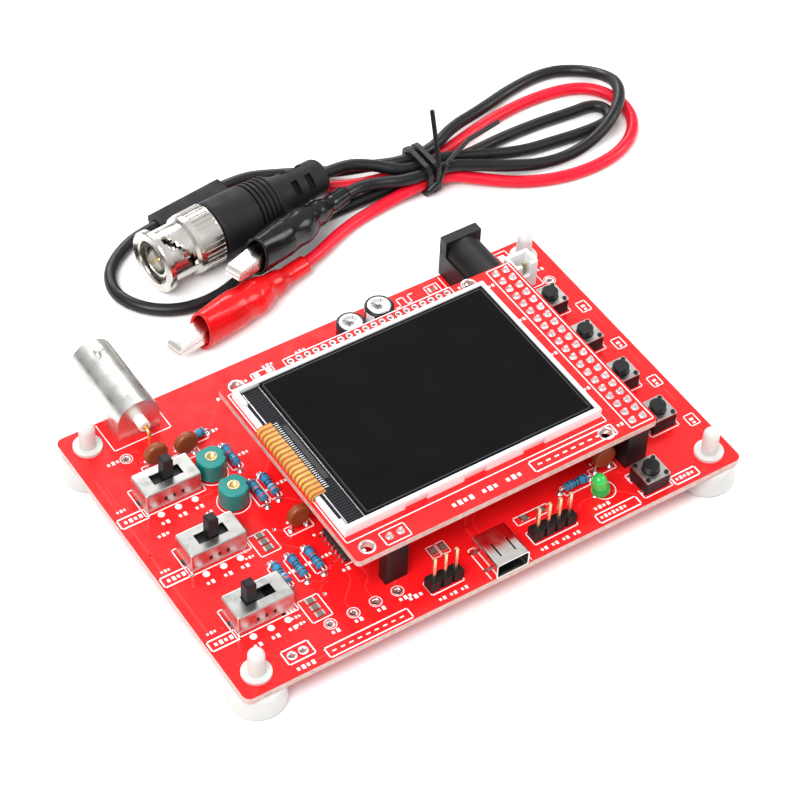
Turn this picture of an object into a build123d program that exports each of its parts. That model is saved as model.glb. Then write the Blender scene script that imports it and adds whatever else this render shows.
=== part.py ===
"""Pocket oscilloscope built on an open circuit board, with its plug-on colour display and test lead.

Millimetres. X runs along the board's long edge, +Y points to the edge with the input socket,
+Z is up. The origin is under the board's centre, on the plane that the four feet stand on.
"""

import os
from math import atan2, cos, degrees, pi, radians, sin, tan

from build123d import *

os.makedirs("parts", exist_ok=True)


# ---------------------------------------------------------------- driving dimensions

# main board and feet
board_length = 117.0
board_width = 76.0
board_thickness = 1.6
board_corner_radius = 1.6
board_clearance_below = 6.2
foot_inset_x = 5.0
foot_inset_y = 4.8
foot_hole_radius = 1.75
foot_neck_clearance = 0.05
foot_radius = 6.0
foot_collar_radius = 3.05
foot_collar_thickness = 0.7
foot_peg_height = 7.0
lead_stub = 1.3

# input socket
bnc_x = -42.9
bnc_axis_height = 4.8
bnc_radius = 4.78
bnc_bore_radius = 4.1
bnc_rear_y = 30.8
bnc_length = 20.4
bnc_lug_setback = 3.6
bnc_lug_radius = 1.0

# power jack
jack_x = 39.5
jack_width = 9.0
jack_height = 10.6
jack_length = 14.2
jack_overhang = 1.0
jack_flange_thickness = 2.6
jack_bore_radius = 3.2
jack_bore_depth = 10.5
jack_pin_radius = 1.0

# slide switches
switch_x = -45.65
switch_front_row_y = -20.6
switch_pitch = 17.7
switch_length = 12.6
switch_width = 6.6
switch_height = 5.0
switch_sheet = 0.4
lever_size = 2.2
lever_rise = 5.0
lever_step = 2.0
lever_slide_gap = 0.2

# push buttons
button_column_x = 49.5
button_front_y = -20.5
button_pitch = 12.77
button_size = 6.0
button_body_height = 3.3
button_sheet = 0.2
plunger_radius = 1.75
plunger_rise = 1.5
button_travel = 0.25
reset_x = 38.5
reset_y = -33.0

# trimmer capacitors
trimmer_x = -35.6
trimmer_y = 10.0
trimmer_pitch = 8.8
trimmer_radius = 3.05
trimmer_height = 4.9
trimmer_rotor_radius = 1.25
running_gap = 0.05

# display
display_left = -28.8
display_front = -29.2
display_length = 70.9
display_width = 52.7
display_hole_spacing_x = 56.1
display_hole_spacing_y = 48.7
display_hole_radius = 1.3
socket_height = 8.5
header_pitch = 2.54
header_rows = 20
header_x = 38.77
header_y = -2.5
frame_left = -27.6
frame_front = -22.7
frame_length = 60.2
frame_width = 42.3
frame_height = 2.5
frame_wall = 0.9
glass_gap = 0.15
ledge_width = 4.6

# pin headers, serial and programming
pin_square = 0.64
header_block = 2.5
header_pin_top = 8.5
header_line_y = -33.25
serial_x = -11.3
program_x = 14.39

# small connectors and lamp
usb_x = 1.6
usb_width = 7.7
usb_depth = 8.7
usb_height = 3.9
usb_sheet = 0.3
lamp_x = 28.2
lamp_y = -30.6
lamp_radius = 1.5
lamp_lean = 12.0

# passive parts
resistor_pitch = 7.62
resistor_radius = 0.95
resistor_length = 5.4
lead_radius = 0.25
disc_radius = 2.6
disc_thickness = 1.7
can_radius = 3.15
can_height = 8.5

# test lead
cord_radius = 1.4
cord_height = 1.4
plug_nose = (-16.1, 73.6)
plug_turn = 6.7
plug_axis_height = 7.25
plug_length = 46.6
ring_radius = 7.2
ring_sleeve_radius = 6.1
grip_radius = 6.6
neck_radius = 4.3
split_length = 19.0
split_turn = 6.7
boot_half_width = 3.6
boot_half_height = 4.4
boot_wall = 0.7
jaw_reach = 8.0
jaw_width = 3.8
jaw_sheet = 0.5
clip_pivot = 5.0
clip_pin_radius = 0.5


# ---------------------------------------------------------------- places worked out from them

board_bottom = board_clearance_below
board_top = board_bottom + board_thickness
back_edge = board_width / 2
front_edge = -board_width / 2
foot_x = board_length / 2 - foot_inset_x
foot_y = board_width / 2 - foot_inset_y
foot_places = [(sx * foot_x, sy * foot_y) for sx in (-1, 1) for sy in (-1, 1)]

bnc_z = board_top + bnc_axis_height
bnc_mouth_y = bnc_rear_y + bnc_length
bnc_pin_hole = (bnc_x, bnc_rear_y - 4.4)

jack_front_y = back_edge + jack_overhang
jack_back_y = jack_front_y - jack_length
jack_z = board_top + 6.3

switch_rows = [switch_front_row_y + row * switch_pitch for row in (2, 1, 0)]
lever_rest_steps = [0, 0, -1]
slot_length = lever_size + 2 * lever_step + 0.4

button_places = [(button_column_x, button_front_y + row * button_pitch) for row in (3, 2, 1, 0)]
button_places.append((reset_x, reset_y))
button_leg_x = 3.25
button_leg_y = 2.25

trimmer_places = [(trimmer_x, trimmer_y + side * trimmer_pitch / 2) for side in (1, -1)]

display_bottom = board_top + socket_height + header_pitch
display_top = display_bottom + board_thickness
display_centre = (display_left + display_length / 2, display_front + display_width / 2)
display_hole_centre = (display_centre[0] - 3.75, display_centre[1] + 0.4)
frame_centre = (frame_left + frame_length / 2, frame_front + frame_width / 2)
small_socket_x = -18.85
small_socket_y = -26.8
test_row_x = 6.7
test_row_y = display_front + display_width - 1.2

usb_front_y = front_edge - 0.1


def header_line(count, x, y):
    """Places of a straight row of header pins along X."""
    return [(x + (i - (count - 1) / 2) * header_pitch, y) for i in range(count)]


serial_pins = header_line(3, serial_x, header_line_y)
program_pins = header_line(4, program_x, header_line_y)
small_socket_pins = header_line(2, small_socket_x, small_socket_y)
display_pins = [
    (header_x + side * header_pitch / 2, header_y + (row - (header_rows - 1) / 2) * header_pitch)
    for row in range(header_rows)
    for side in (-1, 1)
]

battery_x = 48.3
battery_y = 27.2
battery_pins = [(battery_x - 1.0, battery_y), (battery_x + 1.0, battery_y)]

# resistors: centre x, centre y, and whether the body lies along X
resistors = [
    (-30.4, 15.7, False),
    (-27.75, 5.1, False),
    (-30.65, 4.7, False),
    (-33.9, -15.7, False),
    (-30.1, -15.7, False),
    (-37.65, -15.75, False),
    (-34.4, 24.1, True),
    (24.9, -26.5, True),
    (-14.0, 6.0, False),
    (-11.0, 6.0, False),
    (-8.0, 6.0, False),
    (16.0, 14.0, True),
    (16.0, 17.0, True),
]
# disc capacitors: centre x, centre y, lead pitch
discs = [(-44.2, 21.6, 3.6), (-37.6, 21.0, 3.6), (-28.1, -6.9, 3.6)]
discs += [(32.2, -25.6, 3.6), (-20.0, 14.0, 5.08)]
cans = [(6.3, 28.8), (14.0, 30.0)]
can_lead_pitch = 2.5

# surface parts: package centre x, centre y, length along Y, width along X, pins per side
op_amp = (-23.1, -15.1, 8.65, 3.9, 7)
op_amp_rear = (-19.5, 1.0, 8.65, 3.9, 7)
controller = (5.0, -4.0)
controller_size = 7.0
controller_pitch = 0.5
controller_pins = 12
regulators = [(24.0, 6.0), (24.0, -1.0)]
crystal = (5.0, 7.5)

chip_size = (2.0, 1.25, 0.5)
chips_along_x = [(-36.05, y) for y in (-4.95, -6.75, -8.5)]
chips_along_x += [(-36.05, y) for y in (-24.0, -25.8, -27.6)]
chips_along_x += [(11.1, -28.2), (15.1, -28.2)]
chips_along_y = [(-8.9, -26.0), (-6.7, -26.0), (-4.0, 12.0), (-1.0, 12.0)]
chips_along_y += [(12.0, 2.0), (12.0, -2.0), (-2.0, -6.0)]

test_rings = [(-35.5, -30.6), (-30.3, -30.6), (-25.2, -30.5), (-20.2, -30.5), (-48.4, 26.4), (54.4, 24.4)]
ground_pads = [(-45.7, -33.25), (-43.2, -33.25)]
test_tab = (31.2, 35.0)


def along(x, y, lies_along_x, distance):
    """A point at a distance from (x, y), along X or along Y."""
    return (x + distance, y) if lies_along_x else (x, y + distance)


resistor_feet = [
    along(x, y, flat, side * resistor_pitch / 2) for x, y, flat in resistors for side in (-1, 1)
]
disc_feet = [(x + side * pitch / 2, y) for x, y, pitch in discs for side in (-1, 1)]
can_feet = [(x + side * can_lead_pitch / 2, y) for x, y in cans for side in (-1, 1)]
regulator_feet = [(x, y + step * 1.27) for x, y in regulators for step in (-1, 0, 1)]
crystal_feet = [(crystal[0] + side * 2.44, crystal[1] - 3.4) for side in (-1, 1)]
lamp_feet = [(lamp_x - 1.27, lamp_y), (lamp_x + 1.27, lamp_y)]
switch_feet = [
    (switch_x + (step - 1.5) * 2.6, row + side * 1.6)
    for row in switch_rows
    for step in range(4)
    for side in (-1, 1)
]
switch_tabs = [
    (switch_x + side * (switch_length - switch_sheet) / 2, row)
    for row in switch_rows
    for side in (-1, 1)
]
button_feet = [
    (x + sx * button_leg_x, y + sy * button_leg_y)
    for x, y in button_places
    for sx in (-1, 1)
    for sy in (-1, 1)
]
jack_feet = [(jack_x, jack_back_y + 1.0), (jack_x, jack_back_y + 7.0), (jack_x - 4.0, jack_back_y + 4.0)]
bnc_feet = [(bnc_x - 3.4, bnc_rear_y + 2.2), (bnc_x + 3.4, bnc_rear_y + 2.2)]
usb_feet = [
    (usb_x + side * (usb_width / 2 + 0.5), usb_front_y + dy) for side in (-1, 1) for dy in (2.6, 7.6)
]
trimmer_legs = ((2.5, 0), (-1.25, 2.17), (-1.25, -2.17))
trimmer_feet = [(x + dx, y + dy) for x, y in trimmer_places for dx, dy in trimmer_legs]

fine_holes = resistor_feet + disc_feet + can_feet + regulator_feet + crystal_feet
fine_holes += lamp_feet + [bnc_pin_hole]
pin_holes = serial_pins + program_pins + small_socket_pins + display_pins + battery_pins
pin_holes += switch_feet + button_feet + trimmer_feet + ground_pads + [test_tab]
wide_holes = jack_feet + bnc_feet + switch_tabs
fine_hole_radius = 0.4
pin_hole_radius = 0.5
wide_hole_radius = 0.9


standing = (Align.CENTER, Align.CENTER, Align.MIN)
hanging = (Align.CENTER, Align.CENTER, Align.MAX)


def save(piece, name):
    """Label a finished piece and write its STEP file."""
    piece.part.label = name
    export_step(piece.part, f"parts/{name}.step")


def on_board(places, height=0.0):
    """Locations on the main board's top face, at a height above it."""
    return Locations(*[(x, y, board_top + height) for x, y in places])


# ---------------------------------------------------------------- main board and feet

with BuildPart() as main_board:
    with BuildSketch(Plane.XY.offset(board_bottom)):
        RectangleRounded(board_length, board_width, board_corner_radius)
        with Locations(*foot_places):
            Circle(foot_hole_radius, mode=Mode.SUBTRACT)
        with Locations(*fine_holes):
            Circle(fine_hole_radius, mode=Mode.SUBTRACT)
        with Locations(*pin_holes):
            Circle(pin_hole_radius, mode=Mode.SUBTRACT)
        with Locations(*wide_holes):
            Circle(wide_hole_radius, mode=Mode.SUBTRACT)
        with Locations(*usb_feet):
            Circle(pin_hole_radius, mode=Mode.SUBTRACT)
        with Locations(*test_rings):
            Circle(pin_hole_radius, mode=Mode.SUBTRACT)
    extrude(amount=board_thickness)
save(main_board, "main_board")

neck_radius_foot = foot_hole_radius - foot_neck_clearance
peg_top = board_top + foot_peg_height
foot_edge = 1.2

with BuildPart() as foot:
    with BuildSketch(Plane.XZ):
        with BuildLine():
            base = Line((0, 0), (foot_radius - foot_edge, 0))
            edge = TangentArc(base @ 1, (foot_radius, foot_edge), tangent=(1, 0))
            flare = Line(edge @ 1, (foot_radius - 0.3, board_bottom - 1.0))
            dome = ThreePointArc(
                flare @ 1, (foot_radius - 0.55, board_bottom - 0.3), (foot_radius - 1.2, board_bottom)
            )
            rise = Polyline(
                dome @ 1,
                (neck_radius_foot, board_bottom),
                (neck_radius_foot, board_top),
                (foot_collar_radius, board_top),
                (foot_collar_radius, board_top + foot_collar_thickness),
                (neck_radius_foot, board_top + foot_collar_thickness),
                (neck_radius_foot, peg_top - neck_radius_foot),
            )
            tip_cut = neck_radius_foot * (1 - cos(pi / 4))
            tip_middle = (neck_radius_foot - tip_cut, peg_top - tip_cut)
            tip = ThreePointArc(rise @ 1, tip_middle, (0, peg_top))
            Line(tip @ 1, (0, 0))
        make_face()
    revolve(axis=Axis.Z)

with BuildPart() as standoff_feet:
    with Locations(*[(x, y, 0) for x, y in foot_places]):
        add(foot.part)
save(standoff_feet, "standoff_feet")

# ---------------------------------------------------------------- input socket

bnc_section = Plane(origin=(bnc_x, bnc_rear_y, bnc_z), x_dir=(1, 0, 0), z_dir=(0, 0, 1))
bnc_axis = Axis((bnc_x, 0, bnc_z), (0, 1, 0))
bnc_wall = 3.2
bnc_stub_radius = 1.25
bnc_block_length = back_edge - bnc_rear_y - 0.2

with BuildPart() as bnc_shell:
    with BuildSketch(bnc_section):
        Rectangle(bnc_radius, bnc_length, align=(Align.MIN, Align.MIN))
    revolve(axis=bnc_axis)
    with Locations((bnc_x, bnc_rear_y, board_top)):
        Box(
            2 * bnc_radius, bnc_block_length, bnc_axis_height, align=(Align.CENTER, Align.MIN, Align.MIN)
        )
    with BuildSketch(Plane(origin=(bnc_x, bnc_mouth_y, bnc_z), x_dir=(1, 0, 0), z_dir=(0, -1, 0))):
        Circle(bnc_bore_radius)
    extrude(amount=bnc_length - bnc_wall, mode=Mode.SUBTRACT)
    with BuildSketch(Plane(origin=(bnc_x, bnc_rear_y, bnc_z), x_dir=(1, 0, 0), z_dir=(0, 1, 0))):
        Circle(bnc_stub_radius + running_gap)
    extrude(amount=bnc_wall, mode=Mode.SUBTRACT)
    with Locations((bnc_x, bnc_mouth_y - bnc_lug_setback, bnc_z)):
        Cylinder(bnc_lug_radius, 2 * bnc_radius + 2.0)
        Cylinder(bnc_lug_radius + 0.2, 2 * bnc_bore_radius, mode=Mode.SUBTRACT)
    with Locations(*[(x, y, board_top) for x, y in bnc_feet]):
        Cylinder(0.75, board_thickness + lead_stub, align=hanging)
    chamfer(bnc_shell.edges().filter_by(GeomType.CIRCLE).group_by(Axis.Y)[-1], 0.25)
save(bnc_shell, "bnc_shell")

bnc_core_radius = 0.55
with BuildPart() as bnc_insulator:
    with BuildSketch(bnc_section):
        with BuildLine():
            Polyline(
                (bnc_core_radius + running_gap, -2.6),
                (bnc_stub_radius, -2.6),
                (bnc_stub_radius, bnc_wall + 0.05),
                (bnc_bore_radius - running_gap, bnc_wall + 0.05),
                (bnc_bore_radius - running_gap, 8.0),
                (2.3, 8.0),
                (2.3, bnc_length - 2.2),
                (bnc_core_radius + running_gap, bnc_length - 2.2),
                close=True,
            )
        make_face()
    revolve(axis=bnc_axis)
save(bnc_insulator, "bnc_insulator")

bnc_bend = 1.4
with BuildPart() as bnc_pin:
    with BuildSketch(Plane(origin=(bnc_x, bnc_mouth_y - 3.0, bnc_z), x_dir=(1, 0, 0), z_dir=(0, -1, 0))):
        Circle(bnc_core_radius)
    extrude(amount=bnc_length - 3.0 + 2.9)
    with BuildLine() as pin_bend:
        FilletPolyline(
            (bnc_x, bnc_rear_y - 2.9, bnc_z),
            (bnc_x, bnc_pin_hole[1], bnc_z),
            (bnc_x, bnc_pin_hole[1], board_bottom - lead_stub),
            radius=bnc_bend,
        )
    with BuildSketch(Plane(origin=pin_bend.line @ 0, z_dir=pin_bend.line % 0)):
        Circle(0.35)
    sweep(path=pin_bend.line)
save(bnc_pin, "bnc_pin")

# ---------------------------------------------------------------- power jack

with BuildPart() as jack_housing:
    with Locations((jack_x, jack_back_y, board_top)):
        Box(jack_width, jack_length, 6.3, align=(Align.CENTER, Align.MIN, Align.MIN))
    with BuildSketch(Plane(origin=(jack_x, jack_back_y, jack_z), x_dir=(1, 0, 0), z_dir=(0, 1, 0))):
        Circle(jack_height - 6.3 - 0.2)
    extrude(amount=jack_length)
    with Locations((jack_x, jack_front_y, board_top)):
        Box(jack_width, jack_flange_thickness, jack_height, align=(Align.CENTER, Align.MAX, Align.MIN))
    with BuildSketch(Plane(origin=(jack_x, jack_front_y, jack_z), x_dir=(1, 0, 0), z_dir=(0, -1, 0))):
        Circle(jack_bore_radius)
    extrude(amount=jack_bore_depth, mode=Mode.SUBTRACT)
    with BuildSketch(Plane(origin=(jack_x, jack_back_y, jack_z), x_dir=(1, 0, 0), z_dir=(0, 1, 0))):
        Circle(jack_pin_radius + running_gap)
    extrude(amount=jack_length - jack_bore_depth, mode=Mode.SUBTRACT)
    with Locations(*[(x, y, board_top) for x, y in jack_feet]):
        Box(1.6, 0.8, 0.6, align=standing, mode=Mode.SUBTRACT)
    chamfer(jack_housing.faces().sort_by(Axis.Y)[-1].edges().filter_by(GeomType.LINE), 0.3)
save(jack_housing, "jack_housing")

with BuildPart() as jack_contacts:
    with BuildSketch(Plane(origin=(jack_x, jack_back_y + 0.4, jack_z), x_dir=(1, 0, 0), z_dir=(0, 1, 0))):
        Circle(jack_pin_radius)
    extrude(amount=jack_length - 2.4)
    fillet(jack_contacts.faces().sort_by(Axis.Y)[-1].edges(), 0.5)
    with Locations(*[(x, y, board_top + 0.6) for x, y in jack_feet]):
        Box(
            1.4, 0.6, board_thickness + lead_stub + 0.6, align=hanging
        )
save(jack_contacts, "jack_contacts")

# ---------------------------------------------------------------- battery header

battery_size = (5.9, 4.6, 7.0)
with BuildPart() as battery_header:
    with Locations((battery_x, battery_y, board_top)):
        Box(*battery_size, align=standing)
    with Locations((battery_x, battery_y, board_top + 1.6)):
        Box(
            battery_size[0] - 1.6,
            battery_size[1] - 1.6,
            battery_size[2],
            align=standing,
            mode=Mode.SUBTRACT,
        )
    with Locations((battery_x, battery_y - battery_size[1] / 2, board_top + battery_size[2])):
        Box(2.2, 2.0, 3.4, align=hanging, mode=Mode.SUBTRACT)
    with Locations(*[(x, y, board_top) for x, y in battery_pins]):
        Box(
            pin_square + 0.06, pin_square + 0.06, 2.0,
            align=standing, mode=Mode.SUBTRACT,
        )
    fillet(battery_header.edges().filter_by(Axis.Z).group_by(Axis.X)[0], 0.4)
    fillet(battery_header.edges().filter_by(Axis.Z).group_by(Axis.X)[-1], 0.4)
save(battery_header, "battery_header")

# ---------------------------------------------------------------- slide switches

slider_size = (6.4, 4.4, 1.7)
slider_bottom = 2.5
lever_top = switch_height + lever_rise

with BuildPart() as switch_cover:
    with Locations((0, 0, board_top)):
        Box(switch_length, switch_width, switch_height, align=standing)
    fillet(switch_cover.edges().filter_by(Axis.Z), 0.5)
    fillet(switch_cover.faces().sort_by(Axis.Z)[-1].edges(), 0.3)
    with Locations((0, 0, board_top)):
        Box(
            switch_length - 2 * switch_sheet,
            switch_width - 2 * switch_sheet,
            switch_height - switch_sheet,
            align=standing,
            mode=Mode.SUBTRACT,
        )
        Box(
            slot_length, lever_size + 0.4, switch_height,
            align=standing, mode=Mode.SUBTRACT,
        )
    with Locations(*[(step * 1.9, 0, board_top + 2.2) for step in (-1, 0, 1)]):
        Box(0.6, switch_width, 1.0, mode=Mode.SUBTRACT)
    with Locations(*[(side * (switch_length - switch_sheet) / 2, 0, board_top) for side in (-1, 1)]):
        Box(
            switch_sheet, 1.3, board_thickness + lead_stub, align=hanging
        )

with BuildPart() as switch_covers:
    with Locations(*[(switch_x, row, 0) for row in switch_rows]):
        add(switch_cover.part)
save(switch_covers, "switch_covers")

base_length = switch_length - 2 * switch_sheet - 0.1
base_width = switch_width - 2 * switch_sheet - 0.1
with BuildPart() as switch_bases:
    with on_board([(switch_x, row) for row in switch_rows]):
        Box(base_length, base_width, slider_bottom - lever_slide_gap, align=standing)
    with on_board(switch_feet):
        Box(
            0.56, 0.36, slider_bottom, align=standing, mode=Mode.SUBTRACT
        )
save(switch_bases, "switch_bases")

with BuildPart() as switch_terminals:
    with on_board(switch_feet, slider_bottom - lever_slide_gap):
        Box(
            0.5, 0.3, slider_bottom - lever_slide_gap + board_thickness + lead_stub,
            align=hanging,
        )
    with on_board(button_feet, 0.9):
        Box(
            0.3, 0.7, 0.9 + board_thickness + lead_stub, align=hanging
        )
save(switch_terminals, "switch_terminals")


def build_lever(row, rest_step):
    """Slider plate inside the cover, with the square stem that stands out of the slot."""
    with BuildPart() as lever:
        with Locations((switch_x + rest_step * lever_step, row, board_top + slider_bottom)):
            Box(*slider_size, align=standing)
            Box(lever_size, lever_size, lever_top - slider_bottom, align=standing)
        chamfer(lever.faces().sort_by(Axis.Z)[-1].edges(), 0.25)
    return lever


lever_names = ["coupling_lever", "range_lever", "multiplier_lever"]
for lever_name, row, rest_step in zip(lever_names, switch_rows, lever_rest_steps):
    save(build_lever(row, rest_step), lever_name)

# ---------------------------------------------------------------- push buttons

button_cavity_radius = 2.5
button_floor = 1.2
flange_radius = 2.3
flange_bottom = 2.35

with BuildPart() as button_base:
    with Locations((0, 0, board_top)):
        Box(button_size, button_size, button_body_height, align=standing)
    fillet(button_base.edges().filter_by(Axis.Z), 0.4)
    with Locations((0, 0, board_top + button_floor)):
        Cylinder(
            button_cavity_radius, button_body_height,
            align=standing, mode=Mode.SUBTRACT,
        )
    with GridLocations(4.5, 4.5, 2, 2):
        with Locations((0, 0, board_top + button_body_height)):
            Cylinder(0.45, button_sheet + 0.25, align=standing)

with BuildPart() as button_bases:
    with Locations(*[(x, y, 0) for x, y in button_places]):
        add(button_base.part)
save(button_bases, "button_bases")

with BuildPart() as button_covers:
    with BuildSketch(Plane.XY.offset(board_top + button_body_height)):
        with Locations(*button_places):
            RectangleRounded(button_size, button_size, 0.4)
            Circle(plunger_radius + 0.15, mode=Mode.SUBTRACT)
            with GridLocations(4.5, 4.5, 2, 2):
                Circle(0.5, mode=Mode.SUBTRACT)
    extrude(amount=button_sheet)
save(button_covers, "button_covers")

with BuildPart() as button_dome:
    with BuildSketch(Plane.XZ):
        with BuildLine():
            Polyline(
                (0, board_top + button_floor + 0.5),
                (1.2, board_top + button_floor + 0.38),
                (2.3, board_top + button_floor),
                (2.1, board_top + button_floor),
                (1.1, board_top + button_floor + 0.28),
                (0, board_top + button_floor + 0.38),
                close=True,
            )
        make_face()
    revolve(axis=Axis.Z)

with BuildPart() as button_domes:
    with Locations(*[(x, y, 0) for x, y in button_places]):
        add(button_dome.part)
save(button_domes, "button_domes")

def build_plunger(x, y):
    """Round plunger with the flange that keeps it under the steel cover."""
    with BuildPart() as plunger:
        with Locations((x, y, board_top + flange_bottom)):
            Cylinder(flange_radius, 0.7, align=standing)
            Cylinder(0.7, 0.4, align=hanging)
            Cylinder(
                plunger_radius,
                button_body_height + button_sheet + plunger_rise - flange_bottom,
                align=standing,
            )
        chamfer(plunger.faces().sort_by(Axis.Z)[-1].edges(), 0.15)
    return plunger


plunger_names = ["button_1", "button_2", "button_3", "button_4", "reset_button"]
for plunger_name, (x, y) in zip(plunger_names, button_places):
    save(build_plunger(x, y), plunger_name)

# ---------------------------------------------------------------- trimmer capacitors

trimmer_foot_gap = 0.5
with BuildPart() as trimmer_bodies:
    with on_board(trimmer_places, trimmer_foot_gap):
        Cylinder(
            trimmer_radius, trimmer_height - trimmer_foot_gap, align=standing
        )
    fillet(trimmer_bodies.faces().group_by(Axis.Z)[-1].edges(), 0.35)
    with on_board([(x, y + trimmer_radius) for x, y in trimmer_places], trimmer_height):
        Box(3.2, 1.0, 1.6, align=hanging, mode=Mode.SUBTRACT)
    with on_board(trimmer_places, 2.4):
        Cylinder(
            trimmer_rotor_radius + running_gap, trimmer_height,
            align=standing, mode=Mode.SUBTRACT,
        )
    with on_board([(x + 2.9, y - 1.0) for x, y in trimmer_places], trimmer_foot_gap):
        Box(1.1, 0.9, trimmer_height, align=standing, mode=Mode.SUBTRACT)
save(trimmer_bodies, "trimmer_bodies")


def build_rotor(x, y):
    """Metal adjusting screw with a blade slot in its head."""
    with BuildPart() as rotor:
        with Locations((x, y, board_top + 2.5)):
            Cylinder(
                trimmer_rotor_radius, trimmer_height - 2.4, align=standing
            )
        with Locations((x, y, board_top + trimmer_height + 0.1)):
            Cylinder(0.85, 0.7, align=hanging, mode=Mode.SUBTRACT)
            Box(2.0, 0.45, 1.1, align=hanging, mode=Mode.SUBTRACT)
    return rotor


rotor_names = ["trimmer_screw_1", "trimmer_screw_2"]
for rotor_name, (x, y) in zip(rotor_names, trimmer_places):
    save(build_rotor(x, y), rotor_name)

# ---------------------------------------------------------------- trigger lamp

lamp_plane = Plane(origin=(lamp_x, lamp_y, board_top + 0.9)).rotated((0, -lamp_lean, 0))
lamp_section = Plane(origin=lamp_plane.origin, x_dir=lamp_plane.x_dir, z_dir=-lamp_plane.y_dir)
lamp_axis = Axis(lamp_plane.origin, lamp_plane.z_dir)
with BuildPart() as lamp_lens:
    with BuildSketch(lamp_section):
        with BuildLine():
            Polyline(
                (0, 0),
                (lamp_radius + 0.4, 0),
                (lamp_radius + 0.4, 0.9),
                (lamp_radius, 0.9),
                (lamp_radius, 3.4),
            )
            ThreePointArc(
                (lamp_radius, 3.4),
                (lamp_radius * cos(pi / 4), 3.4 + lamp_radius * sin(pi / 4)),
                (0, 3.4 + lamp_radius),
            )
            Line((0, 3.4 + lamp_radius), (0, 0))
        make_face()
    revolve(axis=lamp_axis)
save(lamp_lens, "lamp_lens")

# ---------------------------------------------------------------- pin headers

strip_height = header_pitch
with BuildPart() as header_strips:
    with on_board(serial_pins + program_pins):
        Box(header_pitch, header_block, strip_height, align=standing)
    with on_board(display_pins, socket_height):
        Box(header_pitch, header_pitch, strip_height, align=standing)
    with on_board(small_socket_pins, socket_height):
        Box(header_pitch, header_block, strip_height, align=standing)
    notch_places = [
        (x + header_pitch / 2, y + side * header_block / 2)
        for x, y in serial_pins[:-1] + program_pins[:-1]
        for side in (-1, 1)
    ]
    with on_board(notch_places):
        Box(0.7, 0.7, strip_height, align=standing, mode=Mode.SUBTRACT)
    with on_board(serial_pins + program_pins):
        Box(
            pin_square, pin_square, strip_height, align=standing, mode=Mode.SUBTRACT
        )
    with on_board(display_pins + small_socket_pins, socket_height):
        Box(
            pin_square, pin_square, strip_height, align=standing, mode=Mode.SUBTRACT
        )
save(header_strips, "header_strips")

tail = board_thickness + lead_stub
socket_tail = 0.5
with BuildPart() as header_pins:
    with on_board(serial_pins + program_pins, -tail):
        Box(
            pin_square, pin_square, header_pin_top + tail, align=standing
        )
    with on_board(battery_pins, -tail):
        Box(pin_square, pin_square, 5.5 + tail, align=standing)
    with on_board(display_pins + small_socket_pins):
        Box(socket_tail, socket_tail, tail, align=hanging)
save(header_pins, "header_pins")

# ---------------------------------------------------------------- display sockets and pins

pin_depth_in_socket = 6.0
with BuildPart() as display_sockets:
    with on_board([(header_x, header_y)]):
        Box(
            2 * header_pitch, header_rows * header_pitch, socket_height, align=standing
        )
    with on_board([(small_socket_x, small_socket_y)]):
        Box(2 * header_pitch, header_block, socket_height, align=standing)
    with on_board(display_pins + small_socket_pins, socket_height):
        Box(0.74, 0.74, 6.4, align=hanging, mode=Mode.SUBTRACT)
save(display_sockets, "display_sockets")

with BuildPart() as display_pin_set:
    with on_board(display_pins + small_socket_pins, socket_height - pin_depth_in_socket):
        Box(
            pin_square, pin_square,
            pin_depth_in_socket + strip_height + board_thickness + 0.9,
            align=standing,
        )
save(display_pin_set, "display_pins")

# ---------------------------------------------------------------- display board

with BuildPart() as display_board:
    with BuildSketch(Plane.XY.offset(display_bottom)):
        with Locations(display_centre):
            RectangleRounded(display_length, display_width, 1.0)
        with Locations(display_hole_centre):
            with GridLocations(display_hole_spacing_x, display_hole_spacing_y, 2, 2):
                Circle(display_hole_radius, mode=Mode.SUBTRACT)
        with Locations(*(display_pins + small_socket_pins)):
            Circle(pin_hole_radius, mode=Mode.SUBTRACT)
        with Locations((test_row_x, test_row_y)):
            with GridLocations(2.0, 1.0, 20, 1):
                Circle(0.4, mode=Mode.SUBTRACT)
    extrude(amount=board_thickness)
save(display_board, "display_board")

frame_arm_front = 2.8
frame_arm_back = 4.6
frame_floor = 0.3
frame_top = display_top + frame_height
left_rail_height = 1.2
glass_left = frame_left + frame_wall + glass_gap
glass_length = frame_length - 2 * frame_wall - 2 * glass_gap
glass_width = frame_width - 2 * frame_wall - 2 * glass_gap

with BuildPart() as display_frame:
    with Locations((*frame_centre, display_top)):
        Box(frame_length, frame_width, frame_height, align=standing)
    with Locations((*frame_centre, display_top + frame_floor)):
        Box(
            frame_length - 2 * frame_wall, frame_width - 2 * frame_wall, frame_height,
            align=standing, mode=Mode.SUBTRACT,
        )
    opening_front = frame_front + frame_arm_front
    opening_back = frame_front + frame_width - frame_arm_back
    with Locations((frame_left, opening_front, display_top + left_rail_height)):
        Box(
            3 * frame_wall, opening_back - opening_front, frame_height,
            align=(Align.CENTER, Align.MIN, Align.MIN), mode=Mode.SUBTRACT,
        )
    notch_centres = [frame_left + offset for offset in (16.3, 30.0, 44.0)]
    with Locations(*[(x, frame_front, display_top) for x in notch_centres]):
        Box(5.2, 0.9, 1.5, align=standing, mode=Mode.SUBTRACT)
    chamfer(display_frame.faces().sort_by(Axis.Z)[-1].outer_wire().edges(), 0.12)
save(display_frame, "display_frame")

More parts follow.
